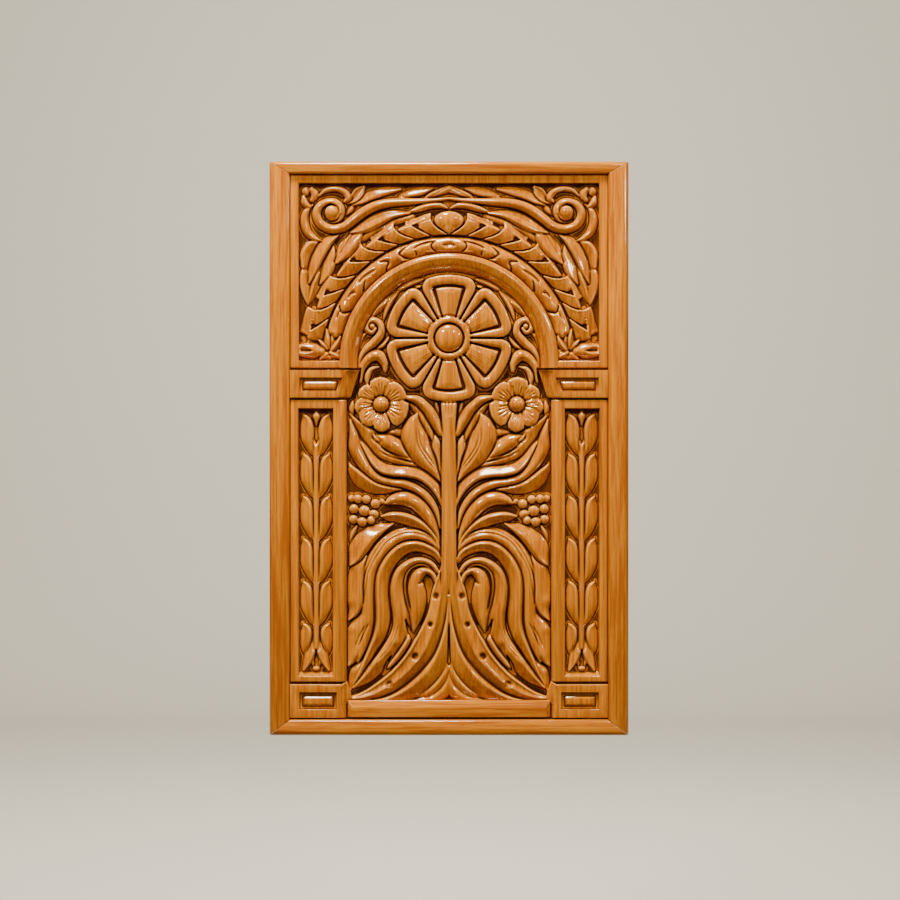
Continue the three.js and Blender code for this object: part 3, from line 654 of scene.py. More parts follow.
def great_flower(s):
    """Six petals with rolled rims and raised wedges, round a ring and a dome."""
    r = np.hypot(s.X - FLOWER[0], s.Y - FLOWER[1])
    for k in range(6):
        along, across = petal_field(s, FLOWER, 90 + 60 * k)
        ang = np.arctan2(np.abs(across), along)
        side = r * np.sin(np.deg2rad(PETAL_HALF_ANGLE) - np.clip(ang, 0, 1.2)) - 0.35
        end = PETAL_END - r
        inside = (side > -3) & (end > -3) & (along > 0) & (ang < 1.2)
        rounded = PETAL_CORNER - np.hypot(PETAL_CORNER - side, PETAL_CORNER - end)
        d = np.where((side < PETAL_CORNER) & (end < PETAL_CORNER), rounded, np.minimum(side, end))
        v = d / np.clip(3.5 + (r - 21) / 34 * 6.9, 3.3, 10.4)
        roll = 5.4 + 3.6 * np.sqrt(np.clip(1 - ((v - 0.46) / 0.56) ** 2, 0, 1))
        wedge = 7.5 + 1.6 * np.clip((v - 1.35) / 0.9, 0, 1) + 0.16 * np.cos(across * 2.4)
        section = np.where(v < 1.0, roll, np.where(v < 1.32, 4.0, wedge))
        section = np.where((v > 0.93) & (v <= 1.0), roll + (4.0 - roll) * (v - 0.93) / 0.07, section)
        section = np.where((v > 1.25) & (v <= 1.4), 4.0 + 3.9 * (v - 1.25) / 0.15, section)
        cover = ease((d + SOFT_EDGE) / (2 * SOFT_EDGE)) * inside
        new = s.h * (1 - cover) + section * cover
        dug = np.maximum(s.h - 2.0 * np.exp(-((d + 1.0) / 0.8) ** 2), -0.3)
        s.h = np.where(inside & (d < 0), np.minimum(new, dug), new)
    ring = 6.5 + 3.3 * np.sqrt(np.clip(1 - ((r - 18.3) / 3.6) ** 2, 0, 1))
    ring = np.where(r < 15.6, 5.0, ring)
    ring = np.where(r < EYE_DOME, 5.5 + 6.2 * np.sqrt(np.clip(1 - (r / EYE_DOME) ** 2, 0, 1)), ring)
    cover = ease((EYE_RING - r) / 0.9)
    s.h = s.h * (1 - cover) + ring * cover
    s.h = s.h - 2.2 * np.exp(-((r - EYE_RING - 0.8) / 0.8) ** 2)


def small_flower(s):
    """Broad fluted petals that overlap round a button, each with its angle, spread and length."""
    for angle, spread, length in ((144, 0.92, 26.5), (92, 1.12, 27.5), (38, 1.18, 28), (-172, 0.9, 27),
                                  (-135, 1.0, 27), (-26, 1.4, 28.5), (-88, 0.9, 28)):
        along, across = petal_field(s, SMALL_FLOWER, angle)
        half = spread * np.interp(along, [4, 10, 19, length - 4, length - 1.2, length],
                                  [3.0, 5.4, 9.6, 9.2, 5.5, 0.5])
        on = (along > 3) & (along < length)
        dist = half - np.abs(across)
        lift = 4.4 + 3.6 * np.sin(np.clip((along - 3) / 25, 0, 1) * np.pi * 0.75) - 1.4 * (across / half) ** 2
        cover = ease((dist + 0.4) / 0.8) * on
        s.h = s.h * (1 - cover) + lift * cover
        groove = (dist > -1.8) & (dist <= 0) & on
        s.h = np.where(groove, s.h - 1.3 * np.exp(-((dist + 0.8) / 0.6) ** 2), s.h)
        for turn, reach in ((-13, 19), (-4.5, 22), (4.5, 21), (13, 18)):
            a = np.deg2rad(angle + turn * spread)
            cut(s, 2.1, *((SMALL_FLOWER[0] + r * np.cos(a), SMALL_FLOWER[1] - r * np.sin(a), half_width)
                          for r, half_width in ((8, 0.7), (14, 0.7), (reach, 0.45))))
    knob(s, *SMALL_FLOWER, 8.0, 9.6, moat=1.6)


print("flowers at", FLOWER, SMALL_FLOWER)

# %% [markdown]
# ## The design of the corners and of the leaf strip
# Positions along the two garlands are given by radius and angle about the arch.

# %% Corners and leaf strip
ARCH_LEVEL = 362
CUP_INNER = 128.2
CUP_OUTER = 150.2
CUP_MIDDLE = 140
CUP_LOW = 2.6
LEAF_TIPS = (413.4, 453.4, 495.7, 538.2, 581.0, 623.5, 664.0)


def polar(radius, angle, half):
    """A node of a stroke at this radius and angle about the arch."""
    a = np.deg2rad(angle)
    return (AXIS - radius * np.sin(a), ARCH_LEVEL - radius * np.cos(a), half)


def about_arch(angle, radius, half):
    """The same from an angle and a radius, as in the stroke lists of the garland."""
    return polar(radius, angle, half)


def cup(s, mouth, reach, notch, rise):
    """A cup of the outer garland. The mouth is a line of (radius, angle), and the body runs back from it."""
    angle = np.rad2deg(np.arctan2(AXIS - s.X, ARCH_LEVEL - s.Y))
    radius = np.hypot(s.X - AXIS, s.Y - ARCH_LEVEL)
    rim_radii, rim_angles = zip(*mouth)
    behind = np.deg2rad(angle - np.interp(radius, rim_radii, rim_angles)) * radius
    back = np.deg2rad(reach) * CUP_MIDDLE
    outer = CUP_OUTER + 1.3 * np.cos(np.deg2rad(angle - notch + 8.6) * 23) + 0.3 * np.clip(angle - 64, 0, 12)
    across = np.clip(2 * (radius - CUP_INNER) / (outer - CUP_INNER) - 1, -1, 1)
    swelling = 0.4 + 0.6 * np.clip(1 - across * across, 0, 1) ** 0.5
    grown = np.sin(np.clip(1 - behind / back, 0, 1) * 1.25) / math.sin(1.25)
    body = (CUP_LOW + (rise - CUP_LOW) * grown) * swelling
    body = body + 0.14 * np.sin(radius * 2.6 + 2 * np.sin(angle / 4))
    body = body + 0.9 * np.exp(-((behind - 0.7) / 0.7) ** 2) * ease((145 - radius) / 1.5)
    near = (behind > -3.4) & (behind < back) & (radius > 127) & (radius < outer + 1.5)
    cover = ease((behind + 0.4) / 0.8) * ease((radius - 127.9) / 0.8)
    cover = cover * ease((outer + 0.4 - radius) / 0.8) * near
    shade = 2.6 * np.exp(-((behind + 1.3) / 1.1) ** 2) * (behind < 0) * near * ease((146 - radius) / 2 + 1.2)
    s.h = np.maximum(s.h * (1 - cover) + body * cover - shade, FLOOR)


def swell(s, angle, radius, reach, lift):
    """Raises a soft swelling on what is there."""
    x, y, _ = polar(radius, angle, 0)
    s.h = s.h + lift * np.exp(-((s.X - x) ** 2 + (s.Y - y) ** 2) / (0.6 * reach) ** 2)


def spandrel_sheet():
    """The left corner, with its garlands, star leaf, volute and leaves."""
    s = Sheet(296, 178, 450, 364)
    # low fillers
    carve(s, "round", 3.4, polar(151.5, 14, 3), polar(153, 30, 4.5), polar(153.5, 50, 4),
          polar(153.5, 66, 3), over=False)
    draw(s, """
    ridge 4.2 joined: 354 203 1, 351 209 3.4, 346 214 1""")
    # crown bud of the outer garland
    draw(s, """
    knob 8 squash 0.64 moat 0: 450 219.5 15.2;
    round 7.4 joined: 450 233.5 1.5, 450 228.5 8.5, 450 223 12""")
    # outer garland, from the crown down: each cup grows out of the mouth of the one below it
    for mouth in (15.5, 30.5, 45.0, 62.0, 77.0):
        crown_side = mouth - 8.6
        cup(s, ((128.6, mouth - 14.8), (134, mouth - 11.2), (139, mouth - 9.2), (144, mouth - 8.4),
                (151, crown_side)), 11.0, mouth, 7.4)
        cup(s, ((128.6, mouth - 7.0), (133.5, mouth - 4.0), (138, mouth - 1.8), (142.4, mouth),
                (143.8, mouth - 4.0), (145.5, mouth - 8.0), (151, crown_side)), 9.5, mouth, 7.2)
        cut(s, 3.4, polar(142.4, mouth - 1.0, 1.2), polar(141.6, mouth - 2.4, 1.8),
            polar(138.2, mouth - 2.6, 1.1), polar(134.5, mouth - 4.4, 0.7))
    cut(s, 3.0, polar(131, 81.2, 0.8), polar(140, 80.9, 1.1), polar(149, 80.4, 0.9))
    # inner garland: one rounded band, parted by curved cuts into husks that hold each other
    band = [polar(118.7, angle, 8.1) for angle in (77.5, 70, 60, 50, 40, 30, 20, 10, 0)]
    carve(s, "round", 5.9, *band, moat=1.8)
    for angle, lift in ((75.5, 0.9), (61.5, 0.9), (55, 0.3), (47.5, 0.3), (40, 0.4), (28.5, 0.5),
                        (21.5, 0.9), (5.5, 0.7)):
        swell(s, angle, 118.6, 6.5, lift)
    draw(s, """
    cut 3.6: 75.3 126.4 0.7, 77.5 123 0.9, 78.6 119.5 1.1, 78.2 116.5 1.2, 77 113 1.1, 75 110.6 0.8;
    cut 3.6: 61.6 125.2 0.6, 63.4 122.6 0.9, 64.9 119 1.2, 64.3 115.8 1.3, 63 112.6 1, 61.6 110.4 0.8;
    cut 3.6: 45.4 118 0.6, 47.6 115.4 0.9, 49.6 112.6 1.1, 51 110.4 0.9;
    cut 3.6: 34.8 123 0.6, 32.8 121 1.2, 31.2 118.6 1.7, 31.6 116.4 1.5, 33.2 114 0.9, 34.8 110.6 1;
    cut 3.6: 18.2 126.6 0.5, 20.8 124 0.7, 23.3 122 1.5, 24.5 119.4 1.3, 23.8 116.6 1, 22.4 113.8 1.1,
      20.6 111.4 0.8;
    cut 3.6: 6.6 123 0.7, 8.2 120.4 1.1, 8.6 117.4 1.1, 7.9 114.6 0.9, 6.4 111.6 0.9;
    cut 2.8: 49 121.2 0.9, 45 121.2 1.7, 41.5 120.2 1.5, 38.2 118.8 0.5;
    cut 2.8: 57.4 120.6 0.5, 55.3 120.6 1.2, 53.9 119.2 1.6, 53.6 117 0.7;
    cut 2.8: 17.5 119.4 0.6, 15 121.4 1.2, 11.5 122.4 1.3, 7.8 122.6 0.9;
    cut 2.8: 69 121 0.4, 66.5 121.4 0.8, 64.6 121.2 0.6;
    cut 2.8: 17.2 117.5 0.4, 16.6 114.8 0.9, 17 112 0.6;
    cut 2.8: 3.2 118 0.5, 1.2 118.2 2.1, -1.2 118.2 2.1, -3.2 118 0.5;
    ridge 6.6 joined: 76 125.4 0.6, 70 124.6 1.4, 65 124.8 1.2, 62 124.6 0.5;
    ridge 6.6 joined: 71 114.6 0.6, 67 114.2 1.3, 64 112.8 0.8;
    ridge 6.6 joined: 61 121.8 0.8, 57 122.4 1.2, 52 121.8 1.2, 51 119.2 0.8, 51.6 117 0.4;
    ridge 6.6 joined: 49 123.4 0.6, 44 123.2 1.2, 40.5 121.4 1.2, 37.6 118.8 0.6;
    ridge 6.6 joined: 46 114.2 0.6, 42 116.2 1.2, 37.8 118.2 0.6;
    ridge 6.6 joined: 19.4 125.2 0.5, 22.6 123.6 1, 25.4 121.2 1.2, 26 118.6 0.8;
    ridge 6.6 joined: 25.8 115.6 0.6, 24.6 112.8 1.4, 21.6 111.2 0.8;
    ridge 6.6 joined: 18 119.6 0.6, 15 122.8 1, 11 124 1.1, 7 124 0.5;
    ridge 6.6 joined: 14 113.6 0.6, 10.5 113.4 1.4, 7.4 112.4 0.6""", about_arch)
    # star leaf and bud in the foot of the corner
    draw(s, """
    round 4 moat 0.4: 338 352 4, 330 352 6.5, 322 352 4;
    ridge 6.2: 331 350.5 2, 325.5 354 4, 320 358.5 1.2;
    ridge 6.2: 331 350 2, 325 345 4, 319.5 339.5 1;
    ridge 6.6: 331 350 2, 329 340 4.6, 327 328.5 1;
    ridge 6: 332 350 1.8, 333.5 343 3.4, 332.5 334.5 1;
    ridge 6.6: 331.5 351 2.2, 337 343.5 4, 340.8 335.5 1;
    ridge 5.6: 331 352 2, 336.5 354.5 3.4, 340.5 357.5 1.4;
    round 7: 302 349.6 7, 309 349.6 8.2, 316 350.2 7.6, 321 350.8 5;
    cut 4.6: 300.5 349.4 2.6, 306 349.6 2.2, 312.5 350 0.6;
    ridge 7.4 joined: 302.5 344.4 0.8, 308 346 1.3, 313 349.2 0.6;
    ridge 7.2 joined: 302.5 355.2 0.8, 308 353.2 1.3, 313 350.6 0.6""")
    # leaves under the volute
    draw(s, """
    ridge 5.8: 322 264 3, 317 277 5.4, 312 291 3.6, 308.5 304 0.8;
    right 5.8: 306 263 3, 305 277 5.2, 305.5 290 4.6, 307.5 303 0.8;
    right 6.2: 320 239.5 1, 312.5 244 5.2, 306.5 253 6, 305 265 4;
    left 6.8: 339 233.5 1, 328 241 5.6, 319.5 255 6.4, 314 268 5.2, 309.5 282 1;
    left 6.4: 334 245 1, 331.5 257 5.6, 327 270 6.4, 320.5 283 1;
    left 6.6: 360 230.5 4.5, 353.5 240 8.4, 345.5 250 8.2, 337 260.5 2.8;
    cut 1.6: 353.5 233 0.6, 347 243 1.2, 340 254 0.6;
    cut 1.3: 349.5 232 0.5, 343 241 0.9, 338.5 250 0.5""")
    # crescent and lobes beside the volute
    draw(s, """
    round 5.8: 314 202.5 0.8, 307.5 208.5 3.2, 304.8 219 4.4, 307.5 230 4.6, 314 236.5 3.4, 321.5 239.5 0.8;
    round 5.4: 304 195 2.4, 305.5 202 4.4, 311 206 1.2;
    knob 5.6: 306.5 190 4.8;
    round 6.2: 312 188 3, 315 193 5, 312.5 198.5 3;
    cut 1.8: 309.5 191 0.8, 311 196 1, 308.5 199 0.8""")
    # leaves along the top edge
    draw(s, """
    left 5.2: 433 187 1.8, 422.5 189.5 4.4, 408.5 193 4.2, 394 198.5 0.8;
    left 5.4: 401 187.5 2, 387 189.5 4.4, 373.5 193.5 5.2, 362.5 199 4, 353.5 203.5 1;
    round 5.6: 450 187.5 4, 440.5 190.5 3.6, 430.5 194.5 2.8, 421.5 200 0.8;
    cut 1.4: 447 186.5 0.7, 438 191.5 0.9, 428 196.5 0.5;
    scoop 6.4: 364 185.8 1.4, 360 190.5 4.6, 354.5 197 4, 348 201.5 1;
    round 6.6: 319.5 194.5 1, 326 189 2.6, 336 187.3 3, 345 190.5 3.6, 348.5 196.5 4, 345 200.5 1.6""")
    # leaves under the long strand
    draw(s, """
    round 6.6: 448.5 207 0.8, 441 204 3.2, 431 204 4.2, 420 207.6 3.6, 408 211.4 0.8;
    left 6.4: 410 211.5 1.4, 393 213 4.8, 377.5 219.2 7, 363 226.5 6, 350 231.5 0.8;
    cut 1.2: 398 211 0.5, 381 215.5 0.9, 365 223 0.5""")
    # the long strand and its volute
    draw(s, """
    round 7.6 moat 1.6: 328.5 208 2.4, 326.3 213 3.4, 330.5 217.6 4.6, 338.5 215.5 5.4, 341 208 5,
      336.5 202 4.5, 329.5 200.8 4.4, 321 204.5 4.6, 317.2 213 5, 321.5 223 5, 332.5 227.8 5,
      344.5 225.6 5.2, 354.5 218.3 5.4, 364.5 210.8 5.6, 375.5 205 5.4, 388.5 201.8 4.9, 405.5 200.5 4.2,
      420.5 199.8 3.2, 435.5 198.8 2.3, 451 197.2 1.6;
    knob 8.6 moat 0.2: 332.2 210.8 7.6;
    cut 5: 336 204.6 0.7, 331 203.2 1.2, 326 205.6 1.4, 323.7 211 1.5, 325.6 216.8 1.4, 331 219.9 1.3,
      337.5 218.6 1.1, 341.2 213.5 0.8;
    cut 4: 443 202 0.6, 447 201 1.6, 451 200.2 2.2""")
    return s


def field_sheet():
    """The leaf strip of the left pilaster, from edge to edge of its sunk field."""
    s = Sheet(298.5, 407, 335.5, 674)
    mid = 316.8
    for side in (-1, 1):
        def at(x, y, half):
            return (mid + side * (mid - x), y, half)
        kind = "left" if side < 0 else "right"
        for tip, foot in zip(LEAF_TIPS[-2::-1], LEAF_TIPS[:0:-1]):
            long = foot - tip
            carve(s, kind, 6.2, at(303.4, tip, 0.5), at(306.4, tip + long * 0.14, 4.8),
                  at(307.7, tip + long * 0.36, 6.9), at(308.4, tip + long * 0.62, 6.7),
                  at(310.8, tip + long * 0.86, 4.2), at(313.8, tip + long * 1.06, 0.9), moat=1.6)
        carve(s, kind, 6.0, at(315.4, 632, 2.2), at(313.8, 645, 3.6), at(309.6, 658, 4.9),
              at(304, 670.5, 1.6))
    carve(s, "round", 5.0, (mid, 440, 2.4), (mid, 452, 3.2), (mid, 540, 3.3), (mid, 630, 3.3),
          (mid, 648, 2.6), moat=1.2)
    carve(s, "round", 5.8, (mid, 411, 0.8), (mid, 415.5, 4.2), (mid, 421, 2.0), (mid, 426, 0.6))
    cut(s, 5.5, (mid, 428, 0.8), (mid, 436, 1.6), (mid, 444, 0.8))
    knob(s, mid, 669, 4.2, 4.2, squash=0.62)
    return s


print("leaf strip from", LEAF_TIPS[0], "to", LEAF_TIPS[-1])

# %% [markdown]
# ## From the sheet to a solid
# The sheet of heights becomes the front of a solid: a fine grid whose points are pushed forward by the
# height, thinned out where the surface is plain, and closed at the back. How deep each point lies below its
# surroundings is stored with it, and the materials paint the hollows and cuts darker by it as painted shade,
# partly standing for stain; how far it stands above them is stored too, for a painted highlight on the
# crests.

# %% Carved solids
# how dark the painted shade on the bare ground is and up to which height, and how strong the painted
# highlight on broad and fine high edges is
GROUND_SHADE = 0.42
SHADED_BELOW = 2.6
BROAD_HIGHLIGHT = 0.25
FINE_HIGHLIGHT = 1.1


def point_places(mesh):
    """The places of all points, one row each."""
    places = np.empty(len(mesh.vertices) * 3)
    mesh.vertices.foreach_get("co", places)
    return places.reshape(-1, 3)


def blur(heights, times):
    """Each point becomes the mean of its neighbourhood, as many times as said."""
    for _ in range(times):
        p = np.pad(heights, 1, mode="edge")
        heights = (p[:-2, 1:-1] + 2 * p[1:-1, 1:-1] + p[2:, 1:-1]) / 4
        p = np.pad(heights, 1, mode="edge")
        heights = (p[1:-1, :-2] + 2 * p[1:-1, 1:-1] + p[1:-1, 2:]) / 4
    return heights


def sampled(values, xs, ys, x, y):
    """The value between the points of a sheet."""
    column = np.clip((x - xs[0]) / CELL, 0, len(xs) - 1.001)
    row = np.clip((y - ys[0]) / CELL, 0, len(ys) - 1.001)
    i = row.astype(int)
    j = column.astype(int)
    v = row - i
    u = column - j
    return ((1 - v) * ((1 - u) * values[i, j] + u * values[i, j + 1])
            + v * ((1 - u) * values[i + 1, j] + u * values[i + 1, j + 1]))


def carved_solid(name, sheet, inside, ground, back, triangles, symmetrical=True):
    """The front of the sheet as a solid, with painted shade for its hollows and fine cuts and a painted
    highlight for its high edges stored on the points.
    """
    heights = blur(sheet.h, 2)
    xs = sheet.x
    wide = blur(heights[::4, ::4], 14).repeat(4, 0).repeat(4, 1)[:heights.shape[0], :heights.shape[1]]
    # painted shade: darker where a point lies below its surroundings, partly standing for stain gathered
    # there
    hollow = np.clip(blur(heights, 24) - heights, 0, 6) / 5
    hollow = hollow + 0.75 * np.clip(blur(wide, 3) - heights - 0.2, 0, 6) / 5
    # painted shade on the low bare ground between the leaves
    hollow = np.maximum(hollow, GROUND_SHADE * np.clip(1 - heights / SHADED_BELOW, 0, 1))
    fine = np.clip(blur(heights, 5) - heights, 0, 2) / 2
    # painted highlight: lighter where a point stands above its surroundings, on crests and high edges
    painted_highlight = BROAD_HIGHLIGHT * np.clip(heights - blur(heights, 12), 0, 1.2) / 1.2
    painted_highlight = painted_highlight + FINE_HIGHLIGHT * np.clip(heights - blur(heights, 3) - 0.02, 0, 0.35) / 0.35
    painted_highlight = np.clip(blur(painted_highlight, 1), 0, 1) * ease((heights - 2) / 2.5)
    if symmetrical:
        heights, hollow, fine, painted_highlight, inside = (
            np.hstack([half, half[:, -2::-1]]) for half in (heights, hollow, fine, painted_highlight, inside))
        xs = np.concatenate([xs, 2 * AXIS - xs[-2::-1]])
    rows, columns = heights.shape
    bpy.ops.object.select_all(action="DESELECT")
    bpy.ops.mesh.primitive_grid_add(x_subdivisions=columns - 1, y_subdivisions=rows - 1, size=2)
    obj = bpy.context.object
    obj.name = name
    mesh = obj.data
    places = point_places(mesh)
    column = np.rint((places[:, 0] + 1) / 2 * (columns - 1)).astype(int)
    row = np.rint((1 - places[:, 1]) / 2 * (rows - 1)).astype(int)
    placed = np.stack([xs[column] - AXIS, -(ground + heights[row, column]), LEVEL - sheet.y[row]], 1) * MM
    mesh.vertices.foreach_set("co", placed.ravel())
    outside = ~inside[row, column]
    bpy.ops.object.mode_set(mode="EDIT")
    bpy.ops.mesh.select_mode(type="VERT")
    bpy.ops.mesh.select_all(action="DESELECT")
    bpy.ops.object.mode_set(mode="OBJECT")
    mesh.vertices.foreach_set("select", outside)
    bpy.ops.object.mode_set(mode="EDIT")
    if outside.any():
        bpy.ops.mesh.delete(type="VERT")
    bpy.ops.object.mode_set(mode="OBJECT")
    now = 2 * len(mesh.polygons)
    if now > triangles:
        thinner = obj.modifiers.new("thinned", "DECIMATE")
        thinner.ratio = triangles / now
        bpy.ops.object.modifier_apply(modifier=thinner.name)
    bpy.ops.object.mode_set(mode="EDIT")
    bpy.ops.mesh.select_mode(type="EDGE")
    bpy.ops.mesh.select_all(action="DESELECT")
    bpy.ops.mesh.select_non_manifold(extend=False, use_wire=False, use_boundary=True, use_multi_face=False,
                                     use_non_contiguous=False, use_verts=False)
    bpy.ops.mesh.extrude_region_move(TRANSFORM_OT_translate={"value": (0, 0, 0)})
    edited = bmesh.from_edit_mesh(mesh)
    for vertex in edited.verts:
        if vertex.select:
            vertex.co.y = -back * MM
    bmesh.update_edit_mesh(mesh)
    bpy.ops.mesh.edge_face_add()
    facing_out()
    places = point_places(mesh)
    x = places[:, 0] / MM + AXIS
    y = LEVEL - places[:, 2] / MM
    for attribute, values in (("hollow", hollow), ("cuts", fine), ("edge_highlight", painted_highlight)):
        store(mesh, attribute, sampled(values, xs, sheet.y, x, y).astype(np.float32))
    return softly_shaded(obj, 60)

# %% [markdown]
# ## The corners over the arch
# The board over the niche is cut out to the arch. Its sunk corners are filled with a scroll, leaves and two
# garlands of husks that follow the curve. The plain border round them stands proud, and the arch moulding is
# one section turned about the middle of the arch.

# %% Arch board, border and moulding
LAP = 0.06
OVERLAP = 1


def arch_outline(radius, steps=48):
    """Outline of the board with the arched opening, from its lower left corner round the arch."""
    points = [(-INNER_HALF, ARCH_BOTTOM), (-radius, ARCH_BOTTOM)]
    for i in range(steps + 1):
        angle = math.pi * (1 - i / steps)
        points.append((radius * math.cos(angle), ARCH_Z + radius * math.sin(angle)))
    return points + [(radius, ARCH_BOTTOM), (INNER_HALF, ARCH_BOTTOM), (INNER_HALF, BORDER_TOP),
                     (-INNER_HALF, BORDER_TOP)]


def plate(name, outline, back, front):
    """An outline with a thickness, from one depth to another."""
    return raised(name, [at_depth(outline, back), at_depth(outline, front)])


BORDER_TOP = OPENING_TOP - GAP
arch_board = plate("arch board", arch_outline(ARCH_OUTER - ARCH_RING / 2), BLOCK_BACK, GROUND)

border_inner = INNER_HALF - BORDER_WIDTH
foot_top = ARCH_BOTTOM + BORDER_FOOT
foot_end = ARCH_OUTER - 0.8
left_border = [(-INNER_HALF, BORDER_TOP), (-INNER_HALF, ARCH_BOTTOM), (-foot_end, ARCH_BOTTOM),
               (-foot_end, foot_top), (-border_inner, foot_top), (-border_inner, BORDER_TOP - BORDER_WIDTH)]
right_border = [(-x, z) for x, z in reversed(left_border)]
border = plate("border", left_border[1:] + right_border + left_border[:1], BLOCK_BACK + 0.1, BORDER_FRONT)
finished(border, 1.3, 4)

RING_CREST = 13.1
ring_line = [(0, BLOCK_BACK), (0, BLOCK_BACK + 1)]
ring_line += [(out, ARCH_FRONT - drop) for out, drop in (
    (1, 9.4), (2.6, 7.2), (4.6, 5), (6, 3.6), (6.9, 2.7), (7.8, 2.2), (10.4, 1.1), (12.6, 0.2),
    (RING_CREST, 0), (13.7, 0.15), (15.4, 0.9), (17, 1.8), (17.8, 3), (ARCH_RING, 4.6))]
ring_line.append((ARCH_RING, BLOCK_BACK))
ring = face("arch moulding", [(ARCH_INNER + out, depth, ARCH_BOTTOM) for out, depth in ring_line])
bpy.ops.object.mode_set(mode="EDIT")
bpy.ops.mesh.select_mode(type="FACE")
bpy.ops.mesh.select_all(action="SELECT")
bpy.ops.mesh.extrude_region_move(TRANSFORM_OT_translate={"value": (0, 0, ARCH_FOOT * MM)})
bpy.ops.mesh.spin(steps=96, angle=-math.pi, center=(0, 0, ARCH_Z * MM), axis=(0, -1, 0))
bpy.ops.mesh.extrude_region_move(TRANSFORM_OT_translate={"value": (0, 0, -ARCH_FOOT * MM)})
bpy.ops.mesh.select_all(action="SELECT")
bpy.ops.mesh.remove_doubles(threshold=0.00001)
bpy.ops.mesh.select_all(action="DESELECT")
bpy.ops.mesh.select_interior_faces()
bpy.ops.mesh.delete(type="FACE")
facing_out()
softly_shaded(ring, 40)
reaches = [math.hypot(v.co.x, max(v.co.z - ARCH_Z * MM, 0)) / MM - ARCH_INNER for v in ring.data.vertices]
# a painted highlight along the crest of the moulding, and painted shade at its outer foot against the board
for attribute, centre, spread, strength in (("edge_highlight", RING_CREST, 0.9, 0.55), ("cuts", ARCH_RING, 0.7, 0.25)):
    store(ring.data, attribute, [strength * math.exp(-((out - centre) / spread) ** 2) for out in reaches])

corners = spandrel_sheet()
from_centre = np.hypot(corners.X - AXIS, corners.Y - (LEVEL - ARCH_Z))
in_corner = (corners.X >= AXIS - border_inner - 1.5) & (corners.Y >= LEVEL - BORDER_TOP + BORDER_WIDTH - 1.5)
in_corner &= (from_centre >= ARCH_OUTER - 2) & (corners.Y <= LEVEL - foot_top + 1.5)
near_ring = ease((from_centre - ARCH_OUTER + 1.0) / 2.5)
corners.h = corners.h * (0.35 + 0.65 * near_ring)
foliage = carved_solid("corner foliage", corners, in_corner, GROUND + LAP, GROUND - OVERLAP, 170000)
print("corner foliage polygons", len(foliage.data.polygons), "board", open_edges(arch_board), "border",
      open_edges(border), "ring", open_edges(ring), "foliage", open_edges(foliage))
keep_piece(joined("arch panel", [arch_board, border, ring, foliage]), "arch_panel", "carved_wood")

# %% [markdown]
# ## The flowering plant
# A trunk rises from two spreading legs, throws out strands, fronds and berries, and carries one large six-
# petalled flower with a domed middle and a smaller one on each side. It is carved from the back board,
# which also runs behind the pilasters and the frame.

# %% Back board with the plant
board_half = PLAQUE_WIDTH / 2 - STILE_WIDTH * (1 - REBATE_SHARE) - GAP
board_bottom = -PLAQUE_HEIGHT / 2 + BOTTOM_RAIL_WIDTH * (1 - REBATE_SHARE) + GAP
board_top = PLAQUE_HEIGHT / 2 - TOP_RAIL_WIDTH * (1 - REBATE_SHARE) - GAP
back_board = plate("back board", rectangle(-board_half, board_half, board_bottom, board_top), 0, BOARD)
eased(back_board, 0.4, 2)
plant = plant_sheet()
from_centre = np.hypot(plant.X - AXIS, plant.Y - (LEVEL - ARCH_Z))
over_spring = plant.Y < LEVEL - ARCH_BOTTOM
clear = np.where(over_spring, ARCH_INNER - 0.4 - from_centre, plant.X - (AXIS - NICHE_HALF + GAP))
capital_low = (plant.Y - (LEVEL - CAPITAL_TOP - GROOVE)) / (CAPITAL_HEIGHT + GROOVE)
capital_reach = CAPITAL_OVERHANG * np.sqrt(np.clip(1 - np.clip(capital_low, 0, 1) ** 2, 0, 1)) + 0.6
beside_capital = (plant.Y > LEVEL - CAPITAL_TOP - GROOVE) & (capital_low < 1)
clear = np.where(beside_capital, plant.X - (AXIS - NICHE_HALF + capital_reach), clear)
plant.h = plant.h * ease(clear / 0.8)
in_niche = (plant.X >= AXIS - NICHE_HALF - 1) & (plant.Y <= LEVEL - SILL_TOP + 2)
in_niche &= ~over_spring | (from_centre <= ARCH_INNER + 3)
growth = carved_solid("flowering plant", plant, in_niche, BOARD + LAP, BOARD - OVERLAP, 185000)
print("plant polygons", len(growth.data.polygons), "open edges", open_edges(growth))
keep_piece(joined("back board with plant", [back_board, growth]), "tree_panel", "carved_wood")

# %% [markdown]
# ## Capitals, pilasters, bases and sill
# The blocks that carry the arch are cut from the solid: a sunk panel with a hipped bar in each capital and
# base, and a sunk strip of leaves on a stem in each pilaster. The left ones are made and then mirrored.

# %% Blocks
PANEL_SINK = 3.6
POCKET_TAPER = 0.985
BAR_DROP = 0.7
BAR_FOOT_SHADE = 0.4


def sheet_outline(*points):
    """An outline on the block fronts, drawn on the same sheet as the carving."""
    return [(x - AXIS, LEVEL - y) for x, y in points]


